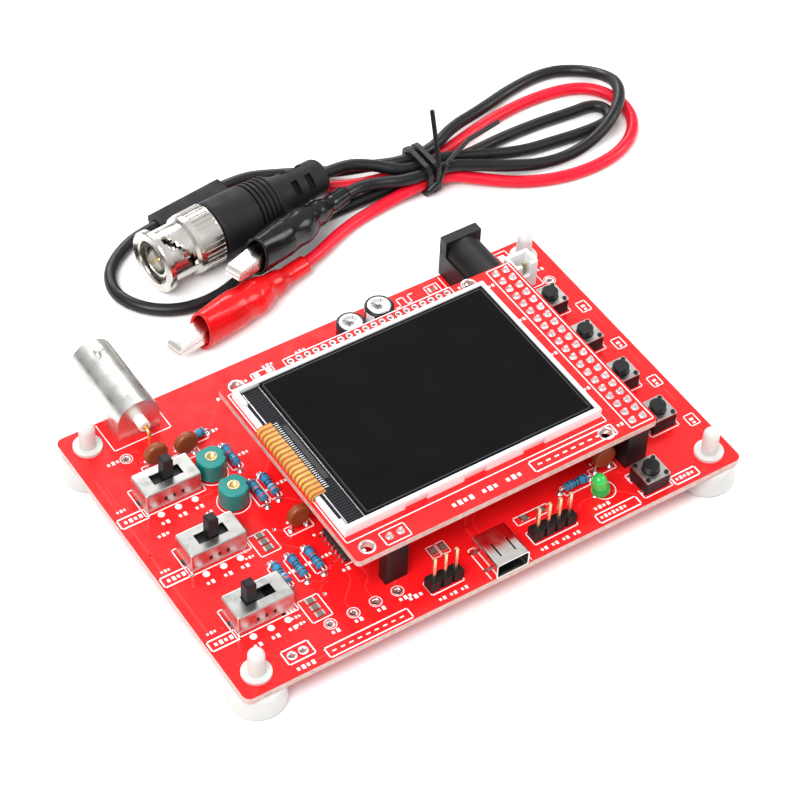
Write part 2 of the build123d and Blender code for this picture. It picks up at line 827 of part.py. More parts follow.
glass_thickness = 1.9
ledge_drop = 0.6
glass_bottom = display_top + frame_floor
with BuildPart() as display_glass:
    with Locations((glass_left, frame_centre[1], glass_bottom)):
        Box(glass_length, glass_width, glass_thickness, align=(Align.MIN, Align.CENTER, Align.MIN))
    with Locations((glass_left, frame_centre[1], glass_bottom + glass_thickness)):
        Box(
            ledge_width, glass_width, ledge_drop,
            align=(Align.MIN, Align.CENTER, Align.MAX), mode=Mode.SUBTRACT,
        )
save(display_glass, "display_glass")

flex_back = 8.7
flex_front = -12.2
flex_thickness = 0.2
flex_rest = glass_bottom + glass_thickness - ledge_drop
flex_bend = 1.0
with BuildPart() as display_flex:
    with BuildSketch(Plane.XZ.offset(-flex_back)):
        with BuildLine():
            run = Line((glass_left + 1.3, flex_rest), (frame_left + 0.35, flex_rest))
            turn = TangentArc(run @ 1, run @ 1 + Vector(-flex_bend, -flex_bend), tangent=(-1, 0))
            Line(turn @ 1, ((turn @ 1).X, display_top + 0.02))
            offset(amount=flex_thickness, side=Side.RIGHT)
        make_face()
    extrude(amount=flex_back - flex_front)
save(display_flex, "display_flex")

# ---------------------------------------------------------------- resistors, capacitors and their leads

resistor_height = resistor_radius + 0.15
with BuildPart() as resistor:
    with BuildSketch(Plane.XY):
        with BuildLine():
            Polyline(
                (-resistor_length / 2, 0),
                (-resistor_length / 2, 0.45),
                (-resistor_length / 2 + 0.2, resistor_radius),
            )
            Line((-resistor_length / 2 + 0.2, resistor_radius), (-resistor_length / 2 + 1.1, resistor_radius))
            Spline(
                (-resistor_length / 2 + 1.1, resistor_radius),
                (0, resistor_radius - 0.17),
                (resistor_length / 2 - 1.1, resistor_radius),
            )
            Line((resistor_length / 2 - 1.1, resistor_radius), (resistor_length / 2 - 0.2, resistor_radius))
            Polyline(
                (resistor_length / 2 - 0.2, resistor_radius),
                (resistor_length / 2, 0.45),
                (resistor_length / 2, 0),
            )
            Line((resistor_length / 2, 0), (-resistor_length / 2, 0))
        make_face()
    revolve(axis=Axis.X)

with BuildPart() as resistor_bodies:
    for x, y, flat in resistors:
        with Locations(Location((x, y, board_top + resistor_height), (0, 0, 0 if flat else 90))):
            add(resistor.part)
save(resistor_bodies, "resistor_bodies")

disc_height = disc_radius + 1.3
with BuildPart() as disc_capacitors:
    with Locations(*[Location((x, y, board_top + disc_height), (90, 0, 0)) for x, y, pitch in discs]):
        Cylinder(disc_radius, disc_thickness)
    fillet(disc_capacitors.edges().filter_by(GeomType.CIRCLE), 0.6)
save(disc_capacitors, "disc_capacitors")

can_edge = 0.4
with BuildPart() as can:
    Cylinder(can_radius, can_height, align=standing)
    fillet(can.edges().filter_by(GeomType.CIRCLE), can_edge)
    with BuildSketch(Plane.XZ):
        with Locations((can_radius, 1.3)):
            Circle(0.28)
    revolve(axis=Axis.Z, mode=Mode.SUBTRACT)

with BuildPart() as electrolytic_capacitors:
    with on_board(cans):
        add(can.part)
save(electrolytic_capacitors, "electrolytic_capacitors")

regulator_height = 3.0
regulator_size = 4.6
crystal_height = 3.5
with BuildPart() as crystal_can:
    with BuildSketch(Plane.XY.offset(board_top + 0.05)):
        with Locations((crystal[0], crystal[1] - 3.4)):
            SlotOverall(11.0, 4.6)
    extrude(amount=0.5)
    with BuildSketch(Plane.XY.offset(board_top + 0.55)):
        with Locations((crystal[0], crystal[1] - 3.4)):
            SlotOverall(10.2, 3.8)
    extrude(amount=crystal_height - 0.5)
    fillet(crystal_can.faces().sort_by(Axis.Z)[-1].edges(), 0.4)
save(crystal_can, "crystal_can")

lead_end = board_bottom - lead_stub
resistor_wire_height = board_top + resistor_height


def wire(*points, radius=0.7):
    """A round component lead through the given points."""
    with BuildPart() as bent:
        with BuildLine() as path:
            FilletPolyline(*points, radius=radius)
        with BuildSketch(Plane(origin=path.line @ 0, z_dir=path.line % 0)):
            Circle(lead_radius)
        sweep(path=path.line)
    return bent.part


with BuildPart() as component_leads:
    for x, y, flat in resistors:
        left = along(x, y, flat, -resistor_pitch / 2)
        right = along(x, y, flat, resistor_pitch / 2)
        resistor_wire = wire(
            (*left, lead_end),
            (*left, resistor_wire_height),
            (*right, resistor_wire_height),
            (*right, lead_end),
        )
        add(resistor_wire)
    add([resistor_bodies.part], mode=Mode.SUBTRACT)
    disc_lead_height = disc_height + board_thickness + lead_stub
    with on_board(disc_feet, disc_height):
        Cylinder(lead_radius, disc_lead_height, align=hanging)
    add([disc_capacitors.part], mode=Mode.SUBTRACT)
    with on_board(can_feet):
        Cylinder(lead_radius, board_thickness + lead_stub, align=hanging)
    with on_board(regulator_feet, regulator_height):
        Cylinder(
            lead_radius, regulator_height + board_thickness + lead_stub, align=hanging
        )
    with on_board(crystal_feet, 0.05):
        Cylinder(lead_radius, 0.05 + board_thickness + lead_stub, align=hanging)
    with on_board(lamp_feet, 1.0):
        Cylinder(lead_radius, 1.0 + board_thickness + lead_stub, align=hanging)
    add([lamp_lens.part], mode=Mode.SUBTRACT)
save(component_leads, "component_leads")

# ---------------------------------------------------------------- chips and surface parts

chip_standoff = 0.15
chip_height = 1.6
with BuildPart() as chip_packages:
    for x, y, length, width, pins in (op_amp, op_amp_rear):
        with Locations((x, y, board_top + chip_standoff)):
            Box(width, length, chip_height - chip_standoff, align=standing)
    with Locations((*controller, board_top + chip_standoff)):
        Box(
            controller_size, controller_size, 1.4, align=standing
        )
    with on_board(regulators, regulator_height):
        Cylinder(regulator_size / 2, regulator_size, align=standing)
    with on_board([(x + regulator_size / 2, y) for x, y in regulators], regulator_height):
        Box(
            1.6, regulator_size, 2 * regulator_size,
            align=(Align.CENTER, Align.CENTER, Align.CENTER), mode=Mode.SUBTRACT,
        )
save(chip_packages, "chip_packages")


def gull_wing(reach, rise, width):
    """One bent chip lead along +X from the package side at the origin."""
    sheet = 0.18
    with BuildPart() as bent:
        with BuildSketch(Plane.XZ.offset(-width / 2)):
            with BuildLine():
                Polyline(
                    (0, rise),
                    (reach * 0.35, rise),
                    (reach * 0.5, sheet),
                    (reach, sheet),
                    (reach, 0),
                    (reach * 0.4, 0),
                    (reach * 0.25, rise - sheet),
                    (0, rise - sheet),
                    close=True,
                )
            make_face()
        extrude(amount=width)
    return bent.part


wide_lead = gull_wing(1.05, 0.85, 0.4)
fine_lead = gull_wing(1.0, 0.8, 0.22)

with BuildPart() as chip_leads:
    for x, y, length, width, pins in (op_amp, op_amp_rear):
        for pin in range(pins):
            pin_y = y + (pin - (pins - 1) / 2) * 1.27
            with Locations(
                Location((x + width / 2, pin_y, board_top), (0, 0, 0)),
                Location((x - width / 2, pin_y, board_top), (0, 0, 180)),
            ):
                add(wide_lead)
    for quarter in range(4):
        turn_plane = Plane(origin=(*controller, board_top)).rotated((0, 0, 90 * quarter))
        with Locations(turn_plane):
            with Locations(*[
                (controller_size / 2, (pin - (controller_pins - 1) / 2) * controller_pitch)
                for pin in range(controller_pins)
            ]):
                add(fine_lead)
save(chip_leads, "chip_leads")

with BuildPart() as chip_components:
    with on_board(chips_along_x):
        Box(*chip_size, align=standing)
    with on_board(chips_along_y):
        Box(chip_size[1], chip_size[0], chip_size[2], align=standing)
save(chip_components, "chip_components")

# ---------------------------------------------------------------- data socket

usb_centre_z = board_top + usb_height / 2
usb_mouth_plane = Plane(origin=(usb_x, usb_front_y, usb_centre_z), x_dir=(1, 0, 0), z_dir=(0, -1, 0))
with BuildPart() as usb_shell:
    with BuildSketch(usb_mouth_plane):
        RectangleRounded(usb_width, usb_height, 0.6)
    extrude(amount=-usb_depth)
    with on_board(usb_feet):
        Box(1.4, 0.8, 0.5, align=standing)
    with on_board(usb_feet, 0.5):
        Box(0.6, 0.45, board_thickness + 0.9, align=hanging)
    with Locations(*[(usb_x + side * 1.7, usb_front_y + 3.6, board_top + usb_height) for side in (-1, 1)]):
        Box(0.35, 3.6, 2 * usb_sheet, mode=Mode.SUBTRACT)
    with BuildSketch(usb_mouth_plane):
        RectangleRounded(usb_width - 2 * usb_sheet, usb_height - 2 * usb_sheet, 0.4)
    extrude(amount=-(usb_depth - usb_sheet), mode=Mode.SUBTRACT)
save(usb_shell, "usb_shell")

with BuildPart() as usb_tongue:
    with BuildSketch(usb_mouth_plane.offset(-(usb_depth - usb_sheet))):
        RectangleRounded(usb_width - 2 * usb_sheet, usb_height - 2 * usb_sheet, 0.4)
    extrude(amount=2.0)
    with Locations((usb_x, usb_front_y + usb_depth - usb_sheet, usb_centre_z)):
        Box(4.4, usb_depth - 1.6, 0.8, align=(Align.CENTER, Align.MAX, Align.CENTER))
save(usb_tongue, "usb_tongue")

# ---------------------------------------------------------------- test lead: plug

plug_heading = radians(plug_turn)
plug_direction = Vector(cos(plug_heading), sin(plug_heading), 0)
plug_origin = Vector(*plug_nose, plug_axis_height)
plug_side = Vector(sin(plug_heading), -cos(plug_heading), 0)
plug_section = Plane(origin=plug_origin, x_dir=plug_direction, z_dir=plug_side)
plug_axis = Axis(plug_origin, plug_direction)


def plug_ring_plane(distance):
    """A plane across the plug's axis, at a distance from its nose, facing its cable end."""
    return Plane(origin=plug_origin + plug_direction * distance, x_dir=-plug_side, z_dir=plug_direction)


ring_back = 15.5
ring_wall = 3.0
ring_bore_radius = 4.95
barrel_radius = 3.95
snap_radius = 4.6
knurl_ribs = 36
with BuildPart() as coupling_ring:
    with BuildSketch(plug_section):
        with BuildLine():
            Polyline(
                (0, ring_bore_radius + 0.3),
                (0, ring_radius - 0.2),
                (0.3, ring_radius),
                (1.5, ring_radius),
                (1.8, ring_sleeve_radius),
                (8.0, ring_sleeve_radius),
                (8.6, ring_radius - 0.4),
                (9.6, ring_radius - 0.2),
                (ring_back - 0.4, ring_radius - 0.2),
                (ring_back, ring_radius - 0.6),
                (ring_back, barrel_radius + 0.3),
                (ring_back - ring_wall, barrel_radius + 0.3),
                (ring_back - ring_wall, ring_bore_radius),
                (0.3, ring_bore_radius),
                close=True,
            )
        make_face()
    revolve(axis=plug_axis)
    with Locations(plug_ring_plane(9.9)):
        with PolarLocations(ring_radius - 0.2, knurl_ribs):
            Box(0.5, 0.55, ring_back - 10.5, align=standing, mode=Mode.SUBTRACT)
    for step in range(7):
        with Locations(plug_ring_plane(2.6 + 0.75 * step)):
            with PolarLocations(ring_radius - 1.5, 2, start_angle=100 + 12 * step):
                Box(4.0, 2.1, 1.6, mode=Mode.SUBTRACT)
save(coupling_ring, "plug_coupling_ring")

grip_front = 15.75
with BuildPart() as plug_body:
    with BuildSketch(plug_section):
        with BuildLine():
            Polyline(
                (1.0, 3.3),
                (1.0, barrel_radius),
                (11.0, barrel_radius),
                (11.0, snap_radius),
                (ring_back - ring_wall - 0.3, snap_radius),
                (ring_back - ring_wall - 0.3, barrel_radius),
                (grip_front, barrel_radius),
                (grip_front, grip_radius - 0.7),
                (grip_front + 1.2, grip_radius - 0.7),
                (grip_front + 1.2, barrel_radius),
                (26.0, barrel_radius),
                (26.0, cord_radius + 0.05),
                (16.0, cord_radius + 0.05),
                (16.0, 3.3),
                close=True,
            )
        make_face()
    revolve(axis=plug_axis)
save(plug_body, "plug_body")

plug_pin_radius = 0.5
with BuildPart() as plug_insulator:
    with BuildSketch(plug_section):
        with BuildLine():
            Polyline(
                (3.2, plug_pin_radius + 0.02),
                (3.2, 2.3),
                (7.0, 2.3),
                (7.0, 3.28),
                (16.0, 3.28),
                (16.0, plug_pin_radius + 0.02),
                close=True,
            )
        make_face()
    revolve(axis=plug_axis)
save(plug_insulator, "plug_insulator")

with BuildPart() as plug_pin:
    with BuildSketch(plug_ring_plane(1.6)):
        Circle(plug_pin_radius)
    extrude(amount=14.4)
    fillet(plug_pin.edges().group_by(Axis.X)[0], 0.3)
save(plug_pin, "plug_pin")

groove_pitch = 1.25
neck_start = 31.8
with BuildPart() as plug_grip:
    with BuildSketch(plug_section):
        with BuildLine():
            front = Polyline(
                (grip_front, grip_radius - 0.68),
                (grip_front, grip_radius),
                (grip_front + 0.6, grip_radius + 0.25),
                (25.4, grip_radius),
            )
            shoulder = Line(front @ 1, (neck_start, grip_radius - 0.5))
            neck_in = Spline(
                shoulder @ 1,
                (neck_start + 1.6, neck_radius + 0.9),
                (neck_start + 3.4, neck_radius + 0.25),
            )
            neck_run = Line(neck_in @ 1, (plug_length - 1.6, neck_radius - 0.1))
            end_round = TangentArc(
                neck_run @ 1, (plug_length, neck_radius - 1.7), tangent=neck_run % 1
            )
            Polyline(
                end_round @ 1,
                (plug_length, cord_radius + 0.05),
                (26.02, cord_radius + 0.05),
                (26.02, barrel_radius + 0.02),
                (grip_front + 1.22, barrel_radius + 0.02),
                (grip_front + 1.22, grip_radius - 0.68),
                (grip_front, grip_radius - 0.68),
            )
        make_face()
    revolve(axis=plug_axis)
    for groove in range(5):
        with BuildSketch(plug_ring_plane(25.8 + groove * groove_pitch)):
            Circle(grip_radius + 1.0)
            Circle(grip_radius - 0.75, mode=Mode.SUBTRACT)
        extrude(amount=0.55, mode=Mode.SUBTRACT)
    for window in (37.4, 41.2):
        with Locations(plug_ring_plane(window)):
            with PolarLocations(neck_radius + 0.3, 4, start_angle=45):
                Box(3.4, 3.6, 1.7, mode=Mode.SUBTRACT)
save(plug_grip, "plug_grip")

# ---------------------------------------------------------------- test lead: cords

tie_x = 52.4
tie_wire = 0.55
strand = 2 * cord_radius + 0.15
tie_low = 2 * tie_wire + 0.25 + cord_radius
tie_high = tie_low + strand
tie_back = 74.5
tie_mid = tie_back - strand
tie_front = tie_mid - strand
tie_run = 4.8
floor = cord_height


def on_plug(distance):
    """A point on the plug's axis, at a distance from its nose."""
    point = plug_origin + plug_direction * distance
    return (point.X, point.Y, point.Z)


def cord_radii(points):
    """The largest arc that each corner's two runs allow."""
    vectors = [Vector(*point) for point in points]
    radii = []
    for before, corner, after in zip(vectors, vectors[1:], vectors[2:]):
        arriving = corner - before
        leaving = after - corner
        half_turn = radians(arriving.get_angle(leaving)) / 2
        radii.append(0.45 * min(arriving.length, leaving.length) / tan(half_turn))
    return radii


def build_cord(name, points):
    """A round tube along straight runs joined by tangent arcs."""
    radii = cord_radii(points)
    with BuildPart() as cord:
        with BuildLine() as path:
            FilletPolyline(*points, radius=radii)
        with BuildSketch(Plane(origin=path.line @ 0, z_dir=path.line % 0)):
            Circle(cord_radius)
        sweep(path=path.line)
    length = sum(edge.length for edge in path.edges())
    ratio = cord.part.volume / (pi * cord_radius**2 * length)
    listed = " ".join(f"{radius:.1f}" for radius in radii)
    print(f"{name}: length {length:.1f}, volume ratio {ratio:.4f}, radii {listed}")
    return cord


split_heading = radians(split_turn)
split_direction = Vector(cos(split_heading), sin(split_heading), 0)
split_side = Vector(-sin(split_heading), cos(split_heading), 0)
split_start = Vector(-7.0, 88.4, 1.8)
split_size = (7.0, 3.5)
split_bore_depth = 7.0


def on_split(distance, side, height=1.8):
    """A point beside the split's axis, at a distance from its cable end."""
    point = split_start + split_direction * distance + split_side * side
    return (point.X, point.Y, height)


def clip_frame(x, y, z, heading, droop):
    """The frame of a clip: X runs from the boot's mouth to its cable end, Z is up."""
    turn = radians(heading)
    tilt = radians(droop)
    along_clip = Vector(cos(tilt) * cos(turn), cos(tilt) * sin(turn), -sin(tilt))
    upward = Vector(sin(tilt) * cos(turn), sin(tilt) * sin(turn), cos(tilt))
    return Plane(origin=(x, y, z), x_dir=along_clip, z_dir=upward)


red_clip = clip_frame(-16.6, 52.0, 4.95, 14.8, 4.0)
black_clip = clip_frame(2.3, 60.8, 10.2, 21.0, 8.4)


def on_clip(frame, distance):
    """A point on a clip's axis, at a distance behind the boot's mouth."""
    point = frame.origin + frame.x_dir * distance
    return (point.X, point.Y, point.Z)


coax_route = [
    on_plug(39.0),
    on_plug(51.5),
    (41.8, 76.3, 6.9),
    (tie_x - tie_run, tie_mid, tie_high),
    (tie_x + tie_run, tie_mid, tie_high),
    (66.3, 69.2, 3.9),
    (76.5, 67.0, 1.9),
    (86.5, 66.2, floor),
    (94.4, 65.3, floor),
    (101.2, 65.5, floor),
    (103.2, 69.0, floor),
    (101.2, 72.4, floor),
    (94.4, 72.7, floor),
    (86.5, 73.5, floor),
    (76.5, 73.6, floor),
    (66.3, 72.6, 1.7),
    (tie_x + tie_run, tie_mid + 0.1, tie_low),
    (tie_x - tie_run, tie_mid, tie_low),
    (40.6, 72.1, 1.7),
    (32.2, 72.3, floor),
    (23.6, 71.9, floor),
    (15.0, 70.9, floor),
    (7.2, 68.2, floor),
    (0.2, 64.3, floor),
    (-7.4, 62.2, floor),
    (-15.4, 63.0, floor),
    (-21.8, 67.4, floor),
    (-25.2, 74.2, floor),
    (-23.0, 81.4, floor),
    (-16.6, 86.1, 1.6),
    on_split(-3.4, 0),
    on_split(split_bore_depth, 0),
]
red_route = [
    on_split(split_length - split_bore_depth, -1.5),
    on_split(split_length + 3.6, -1.5),
    (22.6, 86.6, floor),
    (28.8, 82.4, floor),
    (35.2, 78.6, floor),
    (41.6, 76.0, 1.8),
    (tie_x - tie_run, tie_back, tie_low),
    (tie_x + tie_run, tie_back + 0.1, tie_low),
    (66.0, 77.3, 1.8),
    (76.6, 80.1, floor),
    (87.8, 81.4, floor),
    (98.0, 80.6, floor),
    (104.4, 77.5, floor),
    (107.5, 71.4, floor),
    (107.0, 64.6, floor),
    (102.8, 58.9, floor),
    (95.6, 55.2, floor),
    (86.8, 54.4, floor),
    (78.4, 55.8, floor),
    (70.4, 59.3, floor),
    (63.6, 64.2, 1.9),
    (tie_x + tie_run, tie_front - 0.1, tie_low),
    (tie_x - tie_run, tie_front, tie_low),
    (40.0, 68.3, 1.7),
    (32.6, 67.4, floor),
    (25.6, 65.0, 1.9),
    on_clip(red_clip, 35.0),
    on_clip(red_clip, 26.0),
]
black_route = [
    on_split(split_length - split_bore_depth, 1.5),
    on_split(split_length + 4.4, 1.5),
    (24.0, 90.0, floor),
    (31.4, 86.2, floor),
    (37.8, 82.4, 2.1),
    (43.2, 78.4, 4.3),
    (tie_x - tie_run + 0.6, tie_back + 0.2, tie_high),
    (tie_x + tie_run, tie_back + 0.1, tie_high),
    (66.0, 79.7, 4.7),
    (76.6, 83.5, 2.2),
    (87.8, 86.9, floor),
    (98.2, 87.8, floor),
    (105.4, 84.6, floor),
    (109.0, 78.6, 2.6),
    (107.9, 71.8, 5.2),
    (103.7, 65.9, 5.2),
    (96.8, 61.8, 3.8),
    (88.0, 59.9, 2.2),
    (78.6, 60.3, 2.4),
    (70.0, 62.6, 4.0),
    (63.4, 65.4, 5.2),
    (tie_x + tie_run, tie_front - 0.2, tie_high),
    (tie_x - tie_run - 0.8, tie_front, tie_high),
    (40.0, 72.5, 5.1),
    on_clip(black_clip, 34.6),
    on_clip(black_clip, 26.0),
]

routes = {"coax_cable": coax_route, "red_wire": red_route, "black_wire": black_route}
for cord_name, route in routes.items():
    save(build_cord(cord_name, route), cord_name)

split_plane = Plane(origin=split_start, x_dir=-split_side, z_dir=split_direction)
with BuildPart() as lead_split:
    with BuildSketch(split_plane):
        RectangleRounded(split_size[0] - 0.6, split_size[1], split_size[1] / 2 - 0.05)
    with BuildSketch(split_plane.offset(split_length)):
        RectangleRounded(split_size[0], split_size[1], split_size[1] / 2 - 0.05)
    loft()
    with BuildSketch(split_plane):
        Circle(cord_radius + 0.03)
    extrude(amount=split_bore_depth, mode=Mode.SUBTRACT)
    with BuildSketch(split_plane.offset(split_length)):
        with Locations((-1.5, 0), (1.5, 0)):
            Circle(cord_radius + 0.03)
    extrude(amount=-split_bore_depth, mode=Mode.SUBTRACT)
save(lead_split, "lead_split")

# ---------------------------------------------------------------- test lead: tie

band = 2 * tie_wire
tie_slack = 0.2
band_width = 2 * strand + 2 * cord_radius + 2 * tie_slack
band_height = tie_high - tie_low + 2 * cord_radius + 2 * tie_slack
band_plane = Plane(
    origin=(tie_x, tie_mid, (tie_low + tie_high) / 2), x_dir=(0, 1, 0), z_dir=(1, 0, 0)
)
tie_face_y = tie_front - cord_radius - tie_slack - band
tie_ends = [
    [(tie_x + 0.4, tie_face_y + 0.1, 3.8), (tie_x + 0.9, tie_face_y + 0.1, 9.0), (tie_x + 1.6, 71.0, 21.5)],
    [
        (tie_x + 1.0, tie_face_y + 0.1, 4.0),
        (tie_x + 3.2, tie_face_y + 0.4, 8.7),
        (63.5, 69.6, 9.6),
        (73.6, 72.3, 8.4),
    ],
]
with BuildPart() as cable_tie:
    for start in (-1.7, 0.5):
        with BuildSketch(band_plane.offset(start)):
            RectangleRounded(band_width + 2 * band, band_height + 2 * band, 2.2)
            RectangleRounded(band_width, band_height, 1.1, mode=Mode.SUBTRACT)
        extrude(amount=1.2)
    with Locations(Location((tie_x, tie_face_y + 0.3, 3.6), (0, 55, 0))):
        Cylinder(0.95, 3.6)
    for end_route in tie_ends:
        with BuildLine() as end_path:
            FilletPolyline(*end_route, radius=1.5)
        with BuildSketch(Plane(origin=end_path.line @ 0, z_dir=end_path.line % 0)):
            Circle(tie_wire)
        sweep(path=end_path.line)
save(cable_tie, "cable_tie")

# ---------------------------------------------------------------- test lead: clips

boot_stations = [
    (0.0, boot_half_width, boot_half_height + 0.3),
    (10.0, boot_half_width + 0.2, boot_half_height + 0.1),
    (18.0, boot_half_width - 0.5, boot_half_height - 0.6),
    (24.0, 2.45, 2.6),
    (27.5, 2.15, 2.15),
    (32.0, 2.1, 2.1),
]
boot_length = boot_stations[-1][0]
with BuildPart() as clip_boot:
    for station, half_width, half_height in boot_stations:
        with BuildSketch(Plane.YZ.offset(station)):
            Ellipse(half_width, half_height)
    loft()
    for station, half_width, half_height in boot_stations:
        with BuildSketch(Plane.YZ.offset(station)):
            Ellipse(
                max(half_width - boot_wall, cord_radius + 0.05),
                max(half_height - boot_wall, cord_radius + 0.05),
            )
    loft(mode=Mode.SUBTRACT)
    with BuildSketch(Plane.YZ.offset(boot_length)):
        Circle(cord_radius + 0.05)
    extrude(amount=-8.0, mode=Mode.SUBTRACT)

tooth_pitch = 1.2
tooth_depth = 0.35
tooth_count = 8
jaw_back = 14.0
tip_length = 0.6


def jaw_teeth(gap):
    """The zigzag along the closed jaws' seam, from the tip to the pivot."""
    points = [(-jaw_reach, gap)]
    for tooth in range(tooth_count):
        start = -jaw_reach + tip_length + tooth * tooth_pitch
        points.append((start, gap - tooth_depth / 2))
        points.append((start + tooth_pitch / 2, gap + tooth_depth / 2))
    points.append((clip_pivot - 2.2, gap))
    return points


jaw_back_line = [(clip_pivot - 2.2, 0.8), (jaw_back, 2.2), (jaw_back, 2.7), (clip_pivot, 2.0), (0, 1.85)]
jaw_back_line += [(-jaw_reach + 0.8, 1.35), (-jaw_reach, 0.85)]
channel_line = [(-jaw_reach + 0.6, -0.9), (-jaw_reach + 0.8, 0.75), (0, 1.35), (clip_pivot, 1.5)]
channel_line += [(jaw_back + 0.1, 2.2), (jaw_back + 0.1, -0.9)]
channel_width = jaw_width - 2 * jaw_sheet

with BuildPart() as upper_jaw:
    with BuildSketch(Plane.XZ):
        with BuildLine():
            Polyline(*jaw_teeth(0.06), *jaw_back_line, close=True)
        make_face()
    extrude(amount=jaw_width / 2, both=True)
    with BuildSketch(Plane.XZ):
        with Locations((clip_pivot, 0)):
            Circle(0.95)
        with Locations((clip_pivot, 0.9)):
            Rectangle(1.9, 1.8)
    extrude(amount=jaw_width / 2, both=True)
    with BuildSketch(Plane.XZ):
        with BuildLine():
            Polyline(*channel_line, close=True)
        make_face()
    extrude(amount=channel_width / 2, both=True, mode=Mode.SUBTRACT)
    with BuildSketch(Plane.XZ):
        with Locations((clip_pivot, 0)):
            Circle(1.2)
    extrude(amount=channel_width / 2, both=True, mode=Mode.SUBTRACT)
    with BuildSketch(Plane.XZ):
        with Locations((clip_pivot, 0)):
            Circle(clip_pin_radius + running_gap)
    extrude(amount=jaw_width, both=True, mode=Mode.SUBTRACT)

with BuildPart() as lower_jaw:
    with BuildSketch(Plane.XZ):
        with BuildLine():
            Polyline(*jaw_teeth(-0.06), *[(x, -z) for x, z in jaw_back_line], close=True)
        make_face()
    extrude(amount=jaw_width / 2, both=True)
    with BuildSketch(Plane.XZ):
        with BuildLine():
            Polyline(*[(x, -z) for x, z in channel_line], close=True)
        make_face()
    extrude(amount=channel_width / 2, both=True, mode=Mode.SUBTRACT)
    with BuildSketch(Plane.XZ):
        with Locations((clip_pivot, 0)):
            Circle(0.95)
        with Locations((clip_pivot, -0.9)):
            Rectangle(1.9, 1.8)
    extrude(amount=channel_width / 2 - running_gap, both=True)
    with BuildSketch(Plane.XZ):
        with Locations((clip_pivot, -0.3)):
            Rectangle(3.0, 3.6)
    extrude(amount=channel_width / 2 - running_gap - jaw_sheet, both=True, mode=Mode.SUBTRACT)
    with BuildSketch(Plane.XZ):
        with Locations((clip_pivot, 0)):
            Circle(clip_pin_radius)
    extrude(amount=jaw_width / 2 + 0.1, both=True)


def place(piece, frame):
    """A finished piece moved from its own frame to where it lies."""
    with BuildPart() as placed:
        with Locations(frame):
            add(piece.part)
    return placed


for colour, frame in (("red", red_clip), ("black", black_clip)):
    save(place(clip_boot, frame), f"{colour}_clip_boot")
    save(place(upper_jaw, frame), f"{colour}_clip_upper_jaw")
    save(place(lower_jaw, frame), f"{colour}_clip_lower_jaw")
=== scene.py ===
"""Looks for the pocket oscilloscope: cords, printed legend, pads, solder, markings and materials."""

from math import cos, pi, radians, sin

import bmesh
import bpy
from mathutils import Matrix, Vector


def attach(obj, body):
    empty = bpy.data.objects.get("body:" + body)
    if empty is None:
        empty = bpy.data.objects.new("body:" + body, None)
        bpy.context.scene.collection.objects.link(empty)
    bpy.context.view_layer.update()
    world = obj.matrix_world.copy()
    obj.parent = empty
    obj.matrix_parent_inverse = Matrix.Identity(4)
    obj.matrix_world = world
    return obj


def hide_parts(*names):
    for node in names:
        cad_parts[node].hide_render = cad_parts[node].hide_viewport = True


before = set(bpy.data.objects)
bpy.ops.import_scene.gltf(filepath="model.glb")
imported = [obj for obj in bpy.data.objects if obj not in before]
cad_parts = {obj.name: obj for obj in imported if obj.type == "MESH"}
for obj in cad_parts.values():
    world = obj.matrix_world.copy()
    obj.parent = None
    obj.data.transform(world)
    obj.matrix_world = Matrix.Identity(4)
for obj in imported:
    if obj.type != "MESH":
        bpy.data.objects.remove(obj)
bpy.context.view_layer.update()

MM = 0.001
BOARD = 7.8
DISPLAY = 20.44


# ---------------------------------------------------------------- camera

def aim_camera():
    azimuth, elevation, roll = radians(-34.969), radians(47.137), radians(2.811)
    back = Vector((sin(azimuth) * cos(elevation), -cos(azimuth) * cos(elevation), sin(elevation)))
    side = Vector((0, 0, 1)).cross(back).normalized()
    up = back.cross(side)
    right = cos(roll) * side + sin(roll) * up
    upward = cos(roll) * up - sin(roll) * side
    data = bpy.data.cameras.new("camera")
    data.sensor_width = 36.0
    data.lens = 118.28
    data.clip_start = 0.01
    data.clip_end = 20.0
    camera = bpy.data.objects.new("camera", data)
    bpy.context.collection.objects.link(camera)
    turn = Matrix((right, upward, back)).transposed().to_4x4()
    camera.matrix_world = Matrix.Translation(Vector((-203.86, -290.78, 405.26)) * MM) @ turn
    bpy.context.scene.camera = camera


aim_camera()


# ---------------------------------------------------------------- materials

